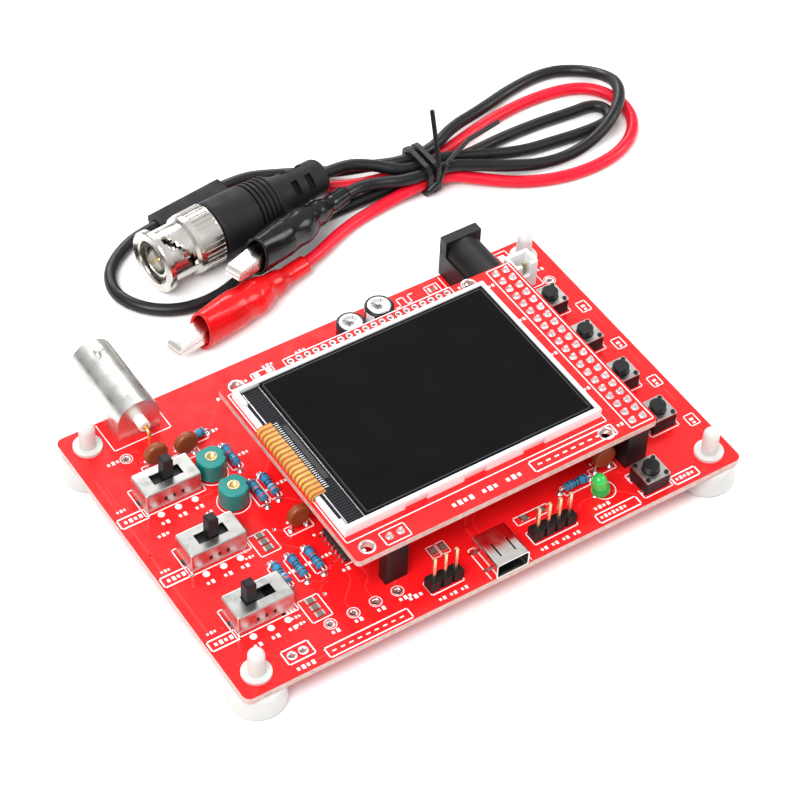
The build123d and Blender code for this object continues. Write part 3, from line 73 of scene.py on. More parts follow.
class Finish:
    """A node material around one Principled shader, in object coordinates."""

    def __init__(self, name):
        self.material = bpy.data.materials.new(name)
        self.material.use_nodes = True
        self.nodes = self.material.node_tree.nodes
        self.links = self.material.node_tree.links
        self.shader = self.nodes["Principled BSDF"]
        self.place = self.nodes.new("ShaderNodeTexCoord").outputs["Object"]

    def set(self, **values):
        for key, value in values.items():
            self.shader.inputs[key.replace("_", " ")].default_value = value
        return self

    def link(self, out, key):
        self.links.new(out, self.shader.inputs[key])

    def noise(self, scale, detail=2.0, roughness=0.5):
        node = self.nodes.new("ShaderNodeTexNoise")
        node.inputs["Scale"].default_value = scale
        node.inputs["Detail"].default_value = detail
        node.inputs["Roughness"].default_value = roughness
        self.links.new(self.place, node.inputs["Vector"])
        return node.outputs["Fac"]

    def math(self, operation, a, b=0.0):
        node = self.nodes.new("ShaderNodeMath")
        node.operation = operation
        for socket, value in zip(node.inputs, (a, b)):
            if isinstance(value, (int, float)):
                socket.default_value = value
            else:
                self.links.new(value, socket)
        return node.outputs[0]

    def spread(self, value, low, high):
        node = self.nodes.new("ShaderNodeMapRange")
        self.links.new(value, node.inputs["Value"])
        node.inputs["From Min"].default_value = 0.3
        node.inputs["From Max"].default_value = 0.7
        node.inputs["To Min"].default_value = low
        node.inputs["To Max"].default_value = high
        return node.outputs[0]

    def blend(self, factor, first, second):
        node = self.nodes.new("ShaderNodeMix")
        node.data_type = "RGBA"
        self.links.new(factor, node.inputs[0])
        for socket, value in ((node.inputs[6], first), (node.inputs[7], second)):
            if isinstance(value, tuple):
                socket.default_value = (*value, 1.0)
            else:
                self.links.new(value, socket)
        return node.outputs[2]

    def bump(self, height, distance, strength=1.0):
        node = self.nodes.new("ShaderNodeBump")
        node.inputs["Distance"].default_value = distance
        node.inputs["Strength"].default_value = strength
        self.links.new(height, node.inputs["Height"])
        self.link(node.outputs[0], "Normal")

    def axis(self, letter):
        node = self.nodes.new("ShaderNodeSeparateXYZ")
        self.links.new(self.place, node.inputs[0])
        return node.outputs[letter]


def tone(colour, factor):
    return tuple(min(1.0, c * factor) for c in colour)


def moulded(
    name, colour, rough=0.45, metallic=0.0, vary=0.1, grain=1800.0, depth=0.00002, patch=160.0, spread=0.09,
):
    """A finish with patchy colour, uneven gloss and a fine grain."""
    finish = Finish(name)
    shade = finish.blend(
        finish.spread(finish.noise(patch, 4.0), 0.0, 1.0), tone(colour, 1 - vary), tone(colour, 1 + vary)
    )
    finish.link(shade, "Base Color")
    finish.link(finish.spread(finish.noise(patch * 2.3, 3.0), rough - spread, rough + spread), "Roughness")
    finish.set(Metallic=metallic)
    finish.bump(finish.noise(grain, 3.0), depth)
    return finish


def board_finish(name, edge_low, edge_high):
    """Glossy red solder mask over copper, with a bare laminate edge."""
    finish = Finish(name)
    patchy = finish.spread(finish.noise(55.0, 5.0), 0.0, 1.0)
    mask = finish.blend(patchy, (0.72, 0.008, 0.010), (0.84, 0.012, 0.014))
    weave_x = finish.math("SINE", finish.math("MULTIPLY", finish.axis("X"), 9000.0))
    weave_y = finish.math("SINE", finish.math("MULTIPLY", finish.axis("Y"), 9000.0))
    weave = finish.math("MULTIPLY", weave_x, weave_y)
    height = finish.axis("Z")
    above = finish.math("GREATER_THAN", height, edge_low * MM)
    below = finish.math("LESS_THAN", height, edge_high * MM)
    edge = finish.math("MULTIPLY", above, below)
    laminate = finish.blend(
        finish.spread(finish.noise(900.0, 4.0), 0.0, 1.0), (0.46, 0.30, 0.26), (0.60, 0.46, 0.42),
    )
    finish.link(finish.blend(edge, mask, laminate), "Base Color")
    finish.link(finish.spread(finish.noise(240.0, 3.0), 0.16, 0.30), "Roughness")
    finish.bump(finish.math("ADD", weave, finish.noise(420.0, 2.0)), 0.000004, 0.35)
    finish.set(Coat_Weight=0.15, Coat_Roughness=0.12, Specular_IOR_Level=0.3)
    return finish.material


def brushed(name, colour, rough=0.24, scale=(700.0, 9000.0, 700.0), depth=0.000008):
    """Plated metal with faint drawn lines."""
    finish = Finish(name)
    mapping = finish.nodes.new("ShaderNodeMapping")
    mapping.inputs["Scale"].default_value = scale
    finish.links.new(finish.place, mapping.inputs["Vector"])
    lines = finish.nodes.new("ShaderNodeTexNoise")
    lines.inputs["Scale"].default_value = 1.0
    lines.inputs["Detail"].default_value = 3.0
    finish.links.new(mapping.outputs[0], lines.inputs["Vector"])
    dull = finish.spread(finish.noise(210.0, 4.0), 0.0, 1.0)
    finish.link(finish.blend(dull, tone(colour, 0.86), tone(colour, 1.04)), "Base Color")
    finish.link(finish.spread(finish.noise(380.0, 3.0), rough - 0.06, rough + 0.10), "Roughness")
    finish.set(Metallic=1.0)
    finish.bump(lines.outputs["Fac"], depth)
    return finish.material


def glass_finish():
    """Black glass with a duller ledge at its left end."""
    finish = Finish("display_black_glass")
    ledge = finish.math("LESS_THAN", finish.axis("X"), -0.02198)
    lines = finish.math("SINE", finish.math("MULTIPLY", finish.axis("Y"), 9000.0))
    dusty = finish.spread(finish.noise(90.0, 4.0), 0.0, 1.0)
    window = finish.blend(dusty, (0.0022, 0.0022, 0.0026), (0.0036, 0.0036, 0.0042))
    strip = finish.blend(finish.spread(lines, 0.0, 1.0), (0.012, 0.012, 0.014), (0.03, 0.03, 0.034))
    finish.link(finish.blend(ledge, window, strip), "Base Color")
    finish.link(finish.spread(finish.noise(60.0, 3.0), 0.10, 0.17), "Roughness")
    finish.set(Specular_IOR_Level=0.1)
    finish.bump(finish.noise(30.0, 2.0), 0.00001, 0.2)
    return finish.material


def flex_finish():
    """Amber film with dark copper lines across the fold."""
    finish = Finish("flex_film")
    line = finish.math("SINE", finish.math("MULTIPLY", finish.axis("Y"), 5200.0))
    film = finish.blend(
        finish.spread(finish.noise(150.0, 4.0), 0.0, 1.0), (0.52, 0.22, 0.03), (0.72, 0.36, 0.07),
    )
    striped = finish.blend(finish.math("GREATER_THAN", line, 0.15), film, (0.28, 0.085, 0.012))
    finish.link(striped, "Base Color")
    finish.link(finish.spread(finish.noise(300.0, 3.0), 0.22, 0.36), "Roughness")
    finish.bump(line, 0.00002, 0.6)
    finish.set(Coat_Weight=0.3)
    return finish.material


def sheath_finish(name, colour, rough):
    """Soft PVC with a slight bloom and rub marks."""
    finish = Finish(name).set(Specular_IOR_Level=0.32)
    bloom = finish.spread(finish.noise(120.0, 5.0), 0.0, 1.0)
    finish.link(finish.blend(bloom, tone(colour, 0.85), tone(colour, 1.25)), "Base Color")
    finish.link(finish.spread(finish.noise(420.0, 4.0), rough - 0.08, rough + 0.12), "Roughness")
    finish.bump(finish.noise(700.0, 3.0), 0.00004, 0.5)
    return finish.material


def lamp_finish():
    """Tinted clear resin with painted light: brighter low down where the die sits, and a faint painted glow."""
    finish = Finish("lamp_resin")
    # Resin below 10 mm is painted brighter: the die really sits there, and the extra brightness is a painted
    # reflection.
    low = finish.math("LESS_THAN", finish.axis("Z"), 0.0100)
    finish.link(finish.blend(low, (0.05, 0.62, 0.12), (0.03, 0.34, 0.07)), "Base Color")
    finish.link(finish.spread(finish.noise(300.0, 2.0), 0.06, 0.14), "Roughness")
    # The faint green emission is a painted glow from an unlit lamp.
    finish.set(
        Transmission_Weight=0.45, IOR=1.5, Emission_Color=(0.05, 0.7, 0.12, 1.0), Emission_Strength=0.12,
    )
    finish.bump(finish.noise(500.0, 2.0), 0.00001, 0.3)
    return finish.material


def nylon_finish():
    """Milky nylon, a little warmer where it is thick."""
    finish = moulded("nylon_milky", (0.64, 0.63, 0.61), 0.38, vary=0.03, grain=1200.0, depth=0.00003)
    finish.set(Subsurface_Weight=0.35, Subsurface_Scale=0.002, Transmission_Weight=0.12, IOR=1.5)
    return finish.material


plastic_black = moulded(
    "moulded_black", (0.007, 0.007, 0.008), 0.42, vary=0.2,
).set(Specular_IOR_Level=0.3).material
plastic_matte = moulded(
    "rubber_black", (0.006, 0.006, 0.007), 0.6, vary=0.2, grain=2600.0, depth=0.00005,
).set(Specular_IOR_Level=0.3).material
plastic_white = moulded("moulded_white", (0.80, 0.81, 0.82), 0.33, vary=0.03).material
nickel = brushed("nickel_plate", (0.72, 0.69, 0.65), 0.20)
steel = brushed("bright_sheet_steel", (0.56, 0.55, 0.53), 0.30, scale=(2400.0, 300.0, 300.0), depth=0.000002)
chrome = brushed("polished_nickel", (0.80, 0.78, 0.75), 0.13, scale=(500.0, 500.0, 4000.0), depth=0.000004)
barrel = brushed("satin_nickel", (0.66, 0.65, 0.62), 0.30, scale=(500.0, 500.0, 4000.0), depth=0.000004)
brass = brushed("tinned_brass_pins", (0.86, 0.72, 0.44), 0.24)
tin = brushed("tin_solder", (0.82, 0.82, 0.83), 0.27, scale=(900.0, 900.0, 900.0), depth=0.00003)
gold = brushed("gold_plate", (1.0, 0.70, 0.25), 0.18)
red_board = board_finish("red_solder_mask", BOARD - 1.52, BOARD - 0.06)
red_display_board = board_finish("red_display_mask", DISPLAY - 1.52, DISPLAY - 0.06)
traces = moulded(
    "red_mask_over_copper", (0.90, 0.03, 0.03), 0.2, vary=0.06,
).set(Coat_Weight=0.15, Specular_IOR_Level=0.3).material
ink = moulded("white_print", (0.88, 0.86, 0.86), 0.55, vary=0.05, grain=5000.0, depth=0.000015).material
ceramic = moulded("ceramic_dip", (0.24, 0.055, 0.014), 0.34, vary=0.16, grain=900.0, depth=0.00008).material
teal = moulded("teal_moulding", (0.002, 0.20, 0.18), 0.36, vary=0.14).material
blue = moulded("resistor_lacquer", (0.02, 0.22, 0.42), 0.30, vary=0.14).material
sleeve = moulded(
    "can_sleeve_film", (0.007, 0.007, 0.008), 0.24, vary=0.2, depth=0.00001,
).set(Specular_IOR_Level=0.35).material
chip_body = moulded("chip_epoxy", (0.020, 0.020, 0.022), 0.58, vary=0.2, grain=4200.0, depth=0.00003).material
chip_stone = moulded("chip_ceramic_grey", (0.16, 0.13, 0.11), 0.48, vary=0.2, grain=3600.0).material
insulator = moulded("socket_insulator", (0.80, 0.79, 0.74), 0.40, vary=0.04).material
vinyl_red = sheath_finish("vinyl_red", (0.60, 0.004, 0.006), 0.17)
vinyl_black = sheath_finish("vinyl_black", (0.005, 0.005, 0.006), 0.17)
sheath_red = sheath_finish("sheath_red", (0.66, 0.004, 0.022), 0.34)
sheath_black = sheath_finish("sheath_black", (0.007, 0.007, 0.008), 0.34)
nylon = nylon_finish()

carried = {
    "main_board": red_board,
    "display_board": red_display_board,
    "standoff_feet": nylon,
    "bnc_shell": barrel,
    "bnc_insulator": insulator,
    "bnc_pin": gold,
    "jack_housing": plastic_black,
    "jack_contacts": steel,
    "switch_bases": plastic_black,
    "switch_covers": steel,
    "switch_terminals": tin,
    "button_bases": plastic_black,
    "button_covers": steel,
    "button_domes": steel,
    "trimmer_bodies": teal,
    "trimmer_screw_1": brass,
    "trimmer_screw_2": brass,
    "battery_header": plastic_white,
    "header_strips": plastic_black,
    "header_pins": brass,
    "display_sockets": plastic_black,
    "display_pins": tin,
    "display_frame": plastic_white,
    "display_glass": glass_finish(),
    "display_flex": flex_finish(),
    "usb_shell": chrome,
    "usb_tongue": plastic_black,
    "lamp_lens": lamp_finish(),
    "resistor_bodies": blue,
    "component_leads": tin,
    "disc_capacitors": ceramic,
    "electrolytic_capacitors": sleeve,
    "crystal_can": steel,
    "chip_components": chip_stone,
    "chip_leads": tin,
    "chip_packages": chip_body,
    "plug_body": nickel,
    "plug_coupling_ring": nickel,
    "plug_insulator": insulator,
    "plug_pin": gold,
    "plug_grip": plastic_matte,
    "lead_split": plastic_matte,
    "cable_tie": sheath_black,
}
for lever in ("coupling_lever", "range_lever", "multiplier_lever", "reset_button"):
    carried[lever] = plastic_black
for number in (1, 2, 3, 4):
    carried[f"button_{number}"] = plastic_black
for colour in ("red", "black"):
    for jaw in ("upper", "lower"):
        carried[f"{colour}_clip_{jaw}_jaw"] = nickel
for node, material in carried.items():
    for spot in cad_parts[node].material_slots:
        spot.material = material


# ---------------------------------------------------------------- cords

def cord_curve(name, route, node, slot, material, **facts):
    """A smooth round cord along a route in millimetres."""
    data = bpy.data.curves.new(name, "CURVE")
    data.dimensions = "3D"
    spline = data.splines.new("NURBS")
    spline.points.add(len(route) - 1)
    for point, (x, y, z) in zip(spline.points, route):
        point.co = (x * MM, y * MM, z * MM, 1.0)
    spline.order_u = 3
    spline.use_endpoint_u = True
    data.resolution_u = 16
    data.bevel_depth = 1.4 * MM
    data.bevel_resolution = 7
    data.use_fill_caps = True
    data.materials.append(material)
    piece = bpy.data.objects.new(name, data)
    bpy.context.collection.objects.link(piece)
    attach(piece, "test_lead")
    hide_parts(node)


def on_plug(d):
    return (-16.1 + 0.99317 * d, 73.6 + 0.11667 * d, 7.25)


def on_split(d, side):
    return (-7.0 + 0.99317 * d - 0.11667 * side, 88.4 + 0.11667 * d + 0.99317 * side, 1.8)


def clip_frame(x, y, z, heading, droop):
    """Where a clip lies: its local X runs from the boot's mouth to its cable end."""
    turn, tilt = radians(heading), radians(droop)
    along = Vector((cos(tilt) * cos(turn), cos(tilt) * sin(turn), -sin(tilt)))
    upward = Vector((sin(tilt) * cos(turn), sin(tilt) * sin(turn), cos(tilt)))
    across = upward.cross(along)
    place = Matrix((along, across, upward)).transposed().to_4x4()
    return Matrix.Translation((x, y, z)) @ place


red_clip = clip_frame(-16.6, 52.0, 4.95, 14.8, 4.0)
black_clip = clip_frame(2.3, 60.8, 10.2, 21.0, 8.4)


def on_clip(place, d):
    return tuple(place @ Vector((d, 0, 0)))


coax_route = [
    on_plug(39), on_plug(51.5), (41.8, 76.3, 6.9), (47.6, 71.55, 5.7), (57.2, 71.55, 5.7),
    (66.3, 69.2, 3.9), (76.5, 67.0, 1.9), (86.5, 66.2, 1.4), (94.4, 65.3, 1.4), (101.2, 65.5, 1.4),
    (103.2, 69.0, 1.4), (101.2, 72.4, 1.4), (94.4, 72.7, 1.4), (86.5, 73.5, 1.4), (76.5, 73.6, 1.4),
    (66.3, 72.6, 1.7), (57.2, 71.65, 2.75), (47.6, 71.55, 2.75), (40.6, 72.1, 1.7), (32.2, 72.3, 1.4),
    (23.6, 71.9, 1.4), (15.0, 70.9, 1.4), (7.2, 68.2, 1.4), (0.2, 64.3, 1.4), (-7.4, 62.2, 1.4),
    (-15.4, 63.0, 1.4), (-21.8, 67.4, 1.4), (-25.2, 74.2, 1.4), (-23.0, 81.4, 1.4), (-16.6, 86.1, 1.6),
    on_split(-3.4, 0), on_split(7, 0),
]
red_route = [
    on_split(12, -1.5), on_split(22.6, -1.5), (22.6, 86.6, 1.4), (28.8, 82.4, 1.4), (35.2, 78.6, 1.4),
    (41.6, 76.0, 1.8), (47.6, 74.5, 2.75), (57.2, 74.6, 2.75), (66.0, 77.3, 1.8), (76.6, 80.1, 1.4),
    (87.8, 81.4, 1.4), (98.0, 80.6, 1.4), (104.4, 77.5, 1.4), (107.5, 71.4, 1.4), (107.0, 64.6, 1.4),
    (102.8, 58.9, 1.4), (95.6, 55.2, 1.4), (86.8, 54.4, 1.4), (78.4, 55.8, 1.4), (70.4, 59.3, 1.4),
    (63.6, 64.2, 1.9), (57.2, 68.5, 2.75), (47.6, 68.6, 2.75), (40.0, 68.3, 1.7), (32.6, 67.4, 1.4),
    (25.6, 65.0, 1.9), on_clip(red_clip, 35.0), on_clip(red_clip, 26.0),
]
black_route = [
    on_split(12, 1.5), on_split(23.4, 1.5), (24.0, 90.0, 1.4), (31.4, 86.2, 1.4), (37.8, 82.4, 2.1),
    (43.2, 78.4, 4.3), (48.2, 74.7, 5.7), (57.2, 74.6, 5.7), (66.0, 79.7, 4.7), (76.6, 83.5, 2.2),
    (87.8, 86.9, 1.4), (98.2, 87.8, 1.4), (105.4, 84.6, 1.4), (109.0, 78.6, 2.6), (107.9, 71.8, 5.2),
    (103.7, 65.9, 5.2), (96.8, 61.8, 3.8), (88.0, 59.9, 2.2), (78.6, 60.3, 2.4), (70.0, 62.6, 4.0),
    (63.4, 65.4, 5.2), (57.2, 68.4, 5.7), (46.8, 68.6, 5.7), (40.0, 72.5, 5.1),
    on_clip(black_clip, 34.6), on_clip(black_clip, 26.0),
]


# ---------------------------------------------------------------- mesh helpers

def piece_from(name, bm, materials, body="instrument", smooth=False, replaces=None):
    bmesh.ops.recalc_face_normals(bm, faces=bm.faces)
    data = bpy.data.meshes.new(name)
    bm.to_mesh(data)
    bm.free()
    for material in materials:
        data.materials.append(material)
    if smooth:
        for face in data.polygons:
            face.use_smooth = True
    piece = bpy.data.objects.new(name, data)
    bpy.context.collection.objects.link(piece)
    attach(piece, body)
    if replaces:
        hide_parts(replaces)
    return piece


def prism(bm, outline, low, high, index=0):
    bottom = [bm.verts.new((x * MM, y * MM, low * MM)) for x, y in outline]
    top = [bm.verts.new((x * MM, y * MM, high * MM)) for x, y in outline]
    faces = [bm.faces.new(top), bm.faces.new(bottom[::-1])]
    for i in range(len(outline)):
        j = (i + 1) % len(outline)
        faces.append(bm.faces.new((bottom[i], bottom[j], top[j], top[i])))
    for face in faces:
        face.material_index = index


def slab(bm, x0, y0, x1, y1, low, high, index=0):
    prism(bm, [(x0, y0), (x1, y0), (x1, y1), (x0, y1)], low, high, index)


def lathe(bm, profile, place, sides=20, index=0):
    """A ring from a closed (radius, height) outline, put where place says, in millimetres."""
    rows = []
    for step in range(sides):
        angle = 2 * pi * step / sides
        row = [bm.verts.new(place @ Vector((r * cos(angle), r * sin(angle), h)) * MM) for r, h in profile]
        rows.append(row)
    for i in range(sides):
        here, there = rows[i], rows[(i + 1) % sides]
        for j in range(len(profile)):
            k = (j + 1) % len(profile)
            face = bm.faces.new((here[j], there[j], there[k], here[k]))
            face.material_index = index
            face.smooth = True


def spot(x, y, z):
    return Matrix.Translation((x, y, z))


class Print:
    """Ink on a board's top face."""

    def __init__(self, height):
        self.bm = bmesh.new()
        self.low = height - 0.005
        self.high = height + 0.03

    def bar(self, x0, y0, x1, y1):
        slab(self.bm, min(x0, x1), min(y0, y1), max(x0, x1), max(y0, y1), self.low, self.high)

    def line(self, *points, width=0.22):
        for (x0, y0), (x1, y1) in zip(points, points[1:]):
            run = Vector((x1 - x0, y1 - y0))
            step = run.normalized() * width / 2
            off = Vector((-step.y, step.x))
            a, b = Vector((x0, y0)) - step, Vector((x1, y1)) + step
            prism(self.bm, [a - off, b - off, b + off, a + off], self.low, self.high)

    def box(self, x0, y0, x1, y1, width=0.22):
        self.line((x0, y0), (x1, y0), (x1, y1), (x0, y1), (x0, y0), width=width)

    def ring(self, x, y, radius, width=0.22, sides=28):
        half = width / 2
        profile = [
            (radius - half, self.low), (radius + half, self.low),
            (radius + half, self.high), (radius - half, self.high),
        ]
        lathe(self.bm, profile, spot(x, y, 0), sides)

    def dot(self, x, y, radius, sides=20):
        turns = [2 * pi * i / sides for i in range(sides)]
        outline = [(x + radius * cos(turn), y + radius * sin(turn)) for turn in turns]
        prism(self.bm, outline, self.low, self.high)

    def word(self, x, y, marks, height=1.15, quarter=False):
        """A row of plain short blocks where a caption stands, with nothing to read."""
        for number in range(marks):
            left = number * height * 0.78
            low, wide = height * (0.15 if number % 2 else 0.25), height * (0.5 if number % 2 else 0.42)
            points = [(left, low), (left + wide, low), (left + wide, height - low), (left, height - low)]
            if quarter:
                points = [(-py, px) for px, py in points]
            prism(self.bm, [(x + px, y + py) for px, py in points], self.low, self.high)


# ---------------------------------------------------------------- places

resistors = [
    (-30.4, 15.7, False), (-27.75, 5.1, False), (-30.65, 4.7, False), (-33.9, -15.7, False),
    (-30.1, -15.7, False), (-37.65, -15.75, False), (-34.4, 24.1, True), (24.9, -26.5, True),
    (-14.0, 6.0, False), (-11.0, 6.0, False), (-8.0, 6.0, False), (16.0, 14.0, True), (16.0, 17.0, True),
]
discs = [(-44.2, 21.6, 3.6), (-37.6, 21.0, 3.6), (-28.1, -6.9, 3.6), (32.2, -25.6, 3.6), (-20.0, 14.0, 5.08)]
cans = [(6.3, 28.8), (14.0, 30.0)]
chips_x = [(-36.05, y) for y in (-4.95, -6.75, -8.5, -24.0, -25.8, -27.6)] + [(11.1, -28.2), (15.1, -28.2)]
chips_y = [(-8.9, -26.0), (-6.7, -26.0), (-4.0, 12.0), (-1.0, 12.0), (12.0, 2.0), (12.0, -2.0), (-2.0, -6.0)]
rings = [(-35.5, -30.6), (-30.3, -30.6), (-25.2, -30.5), (-20.2, -30.5), (-48.4, 26.4), (54.4, 24.4)]
switch_rows = [14.8, -2.9, -20.6]
buttons = [(49.5, -20.5 + 12.77 * row) for row in (3, 2, 1, 0)] + [(38.5, -33.0)]
trimmers = [(-35.6, 14.4), (-35.6, 5.6)]
serial = [(-11.3 + (i - 1) * 2.54, -33.25) for i in range(3)]
program = [(14.39 + (i - 1.5) * 2.54, -33.25) for i in range(4)]
display_pins = [(38.77 + s * 1.27, -2.5 + (row - 9.5) * 2.54) for row in range(20) for s in (-1, 1)]
small_pins = [(-18.85 - 1.27, -26.8), (-18.85 + 1.27, -26.8)]
test_row = [(6.7 + (i - 9.5) * 2.0, 22.3) for i in range(20)]
ground_pads = [(-45.7, -33.25), (-43.2, -33.25)]


def feet_of(x, y, flat, pitch):
    half = pitch / 2
    return [(x - half, y), (x + half, y)] if flat else [(x, y - half), (x, y + half)]


wire_feet = [foot for x, y, flat in resistors for foot in feet_of(x, y, flat, 7.62)]
wire_feet += [foot for x, y, pitch in discs for foot in feet_of(x, y, True, pitch)]
wire_feet += [foot for x, y in cans for foot in feet_of(x, y, True, 2.5)]
wire_feet += feet_of(28.2, -30.6, True, 2.54)


# ---------------------------------------------------------------- main board: print

def print_main_board():
    ink_on = Print(BOARD)
    for x, y, flat in resistors:
        a, b = (3.1, 1.25) if flat else (1.25, 3.1)
        ink_on.box(x - a, y - b, x + a, y + b)
        for side in (-1, 1):
            end = (x + side * a, y) if flat else (x, y + side * b)
            tip = (x + side * (a + 0.35), y) if flat else (x, y + side * (b + 0.35))
            ink_on.line(end, tip)
        ink_on.word(x + a + 0.5, y - 0.6, 3, 1.1)
    for x, y, pitch in discs:
        ink_on.box(x - 2.9, y - 1.1, x + 2.9, y + 1.1)
        ink_on.word(x - 1.6, y + 1.6, 2, 1.1)
    for x, y in cans:
        ink_on.ring(x, y, 3.5)
        ink_on.word(x - 4.6, y + 2.2, 1, 1.4)
        ink_on.line((x - 4.9, y + 0.1), (x - 3.9, y + 0.1))
        ink_on.line((x - 4.4, y - 0.4), (x - 4.4, y + 0.6))
    for x, y in trimmers:
        ink_on.ring(x, y, 3.4)
        ink_on.word(x - 6.3, y - 0.6, 2, 1.1)
    for row, y in enumerate(switch_rows):
        ink_on.box(-52.5, y - 3.8, -38.8, y + 3.8)
        ink_on.word(-57.0, y - 0.5, 3, 1.0)
        low = (10.5, -6.6, -24.7)[row]
        ink_on.box(-58.0, low, -51.9, low + 2.5, width=0.3)
        ink_on.word(-56.9, low + 0.55, 4, 1.4)
        for x in (-49.6, -45.7, -41.9):
            ink_on.dot(x, (10.0, -7.7, -25.55)[row], 0.72)
            ink_on.word(x - 1.1, (10.0, -7.7, -25.55)[row] - 2.9, 2, 1.35)
    for x, y in buttons:
        ink_on.line((x - 3.5, y - 1.2), (x - 3.5, y - 3.5), (x + 3.5, y - 3.5), (x + 3.5, y - 1.2))
        ink_on.line((x - 3.5, y + 1.2), (x - 3.5, y + 3.5), (x + 3.5, y + 3.5), (x + 3.5, y + 1.2))
    for x, y in buttons[:4]:
        ink_on.line((54.9, y - 5.2), (54.9, y - 2.2), (57.2, y - 2.2), (57.2, y - 5.2), (54.9, y - 5.2))
        ink_on.word(56.6, y - 4.8, 2, 1.2, quarter=True)
    ink_on.box(42.6, -36.9, 48.6, -34.6, width=0.3)
    ink_on.word(43.3, -36.3, 5, 1.2)
    for x, y in rings:
        ink_on.ring(x, y, 1.25, width=0.16)
    for number in range(4):
        ink_on.word((-35.5, -30.3, -25.2, -20.2)[number] - 0.9, -33.3, 2 if number < 3 else 3, 1.35)
    ink_on.word(-52.6, 26.0, 3, 1.3)
    ink_on.box(-47.3, -34.95, -41.4, -31.5, width=0.28)
    ink_on.word(-46.6, -37.3, 4, 1.4)
    ink_on.box(-39.7, -37.5, -21.0, -35.0, width=0.28)
    for number in range(9):
        ink_on.bar(-38.6 + number * 1.9, -36.45, -37.7 + number * 1.9, -36.15)
    ink_on.box(-38.3, -9.7, -33.8, -4.0)
    ink_on.box(-38.3, -28.8, -33.8, -22.9)
    for chip_x, chip_y in chips_x[:6]:
        ink_on.word(chip_x - 5.2, chip_y - 0.45, 3, 0.95)
    ink_on.box(9.1, -29.25, 17.2, -27.15)
    ink_on.box(-15.04, -34.98, -7.56, -31.5)
    ink_on.box(9.2, -34.98, 19.57, -31.5)
    ink_on.word(-19.4, -34.2, 3, 1.5)
    for number in range(3):
        ink_on.word(-14.5 + number * 2.54, -37.2, 2, 1.15)
    for number in range(4):
        ink_on.word(9.5 + number * 2.6, -37.2, 2, 1.15)
    ink_on.line((-3.0, -37.5), (-3.0, -29.2), (6.5, -29.2), (6.5, -37.5))
    ink_on.ring(29.2, -30.3, 2.45)
    ink_on.word(24.6, -34.2, 4, 1.3)
    ink_on.box(23.6, -37.2, 33.6, -34.9, width=0.3)
    ink_on.word(24.4, -36.6, 7, 1.2)
    ink_on.box(29.6, 33.8, 32.8, 36.4)
    ink_on.line(
        (21.4, 34.2), (22.6, 34.2), (22.6, 36.4), (24.2, 36.4), (24.2, 34.2), (25.4, 34.2), (25.4, 36.4),
        (26.6, 36.4), width=0.26,
    )
    ink_on.box(47.6, 32.8, 51.2, 37.0)
    ink_on.line((34.1, 37.4), (33.9, 23.2), (45.1, 23.2), (45.1, 37.4))
    ink_on.line((-49.4, 37.4), (-49.4, 29.4), (-36.4, 29.4), (-36.4, 37.4))
    for x, y, length, width in ((-23.1, -15.1, 8.65, 3.9), (-19.5, 1.0, 8.65, 3.9)):
        ink_on.line((x - width / 2 - 0.3, y + length / 2 + 0.4), (x - 0.6, y + length / 2 + 0.4))
        ink_on.line((x + 0.6, y + length / 2 + 0.4), (x + width / 2 + 0.3, y + length / 2 + 0.4))
        ink_on.line((x - width / 2 - 0.3, y - length / 2 - 0.4), (x + width / 2 + 0.3, y - length / 2 - 0.4))
        ink_on.dot(x - width / 2 - 1.6, y + length / 2 + 0.6, 0.32)
    ink_on.word(-26.6, -21.4, 2, 1.3)
    for x, y in chips_y:
        ink_on.box(x - 0.95, y - 1.55, x + 0.95, y + 1.55, width=0.16)
    ink_on.box(43.8, 24.2, 52.8, 30.2)
    ink_on.word(53.8, 27.6, 2, 1.2)
    for x, y in ((-12.0, 33.5), (-4.0, 33.5), (19.8, 26.6), (36.8, -24.5), (-53.0, 4.6)):
        ink_on.word(x, y, 3, 1.2)
    piece_from("board_print", ink_on.bm, [ink])


def solder(bm, x, y, base, inner, outer, rise, sides=18):
    """A fillet of solder that climbs a lead from its pad."""
    profile = [
        (inner, base), (outer, base), (outer * 0.98, base + 0.05), (outer * 0.72, base + rise * 0.2),
        ((inner + outer) * 0.42, base + rise * 0.55), (inner + 0.1, base + rise * 0.92), (inner, base + rise),
    ]
    lathe(bm, profile, spot(x, y, 0), sides)


def ring_pad(bm, x, y, base, inner, outer, sides=24):
    profile = [(inner, base), (outer, base), (outer, base + 0.035), (outer - 0.06, base + 0.05), (inner, base + 0.05)]
    lathe(bm, profile, spot(x, y, 0), sides)


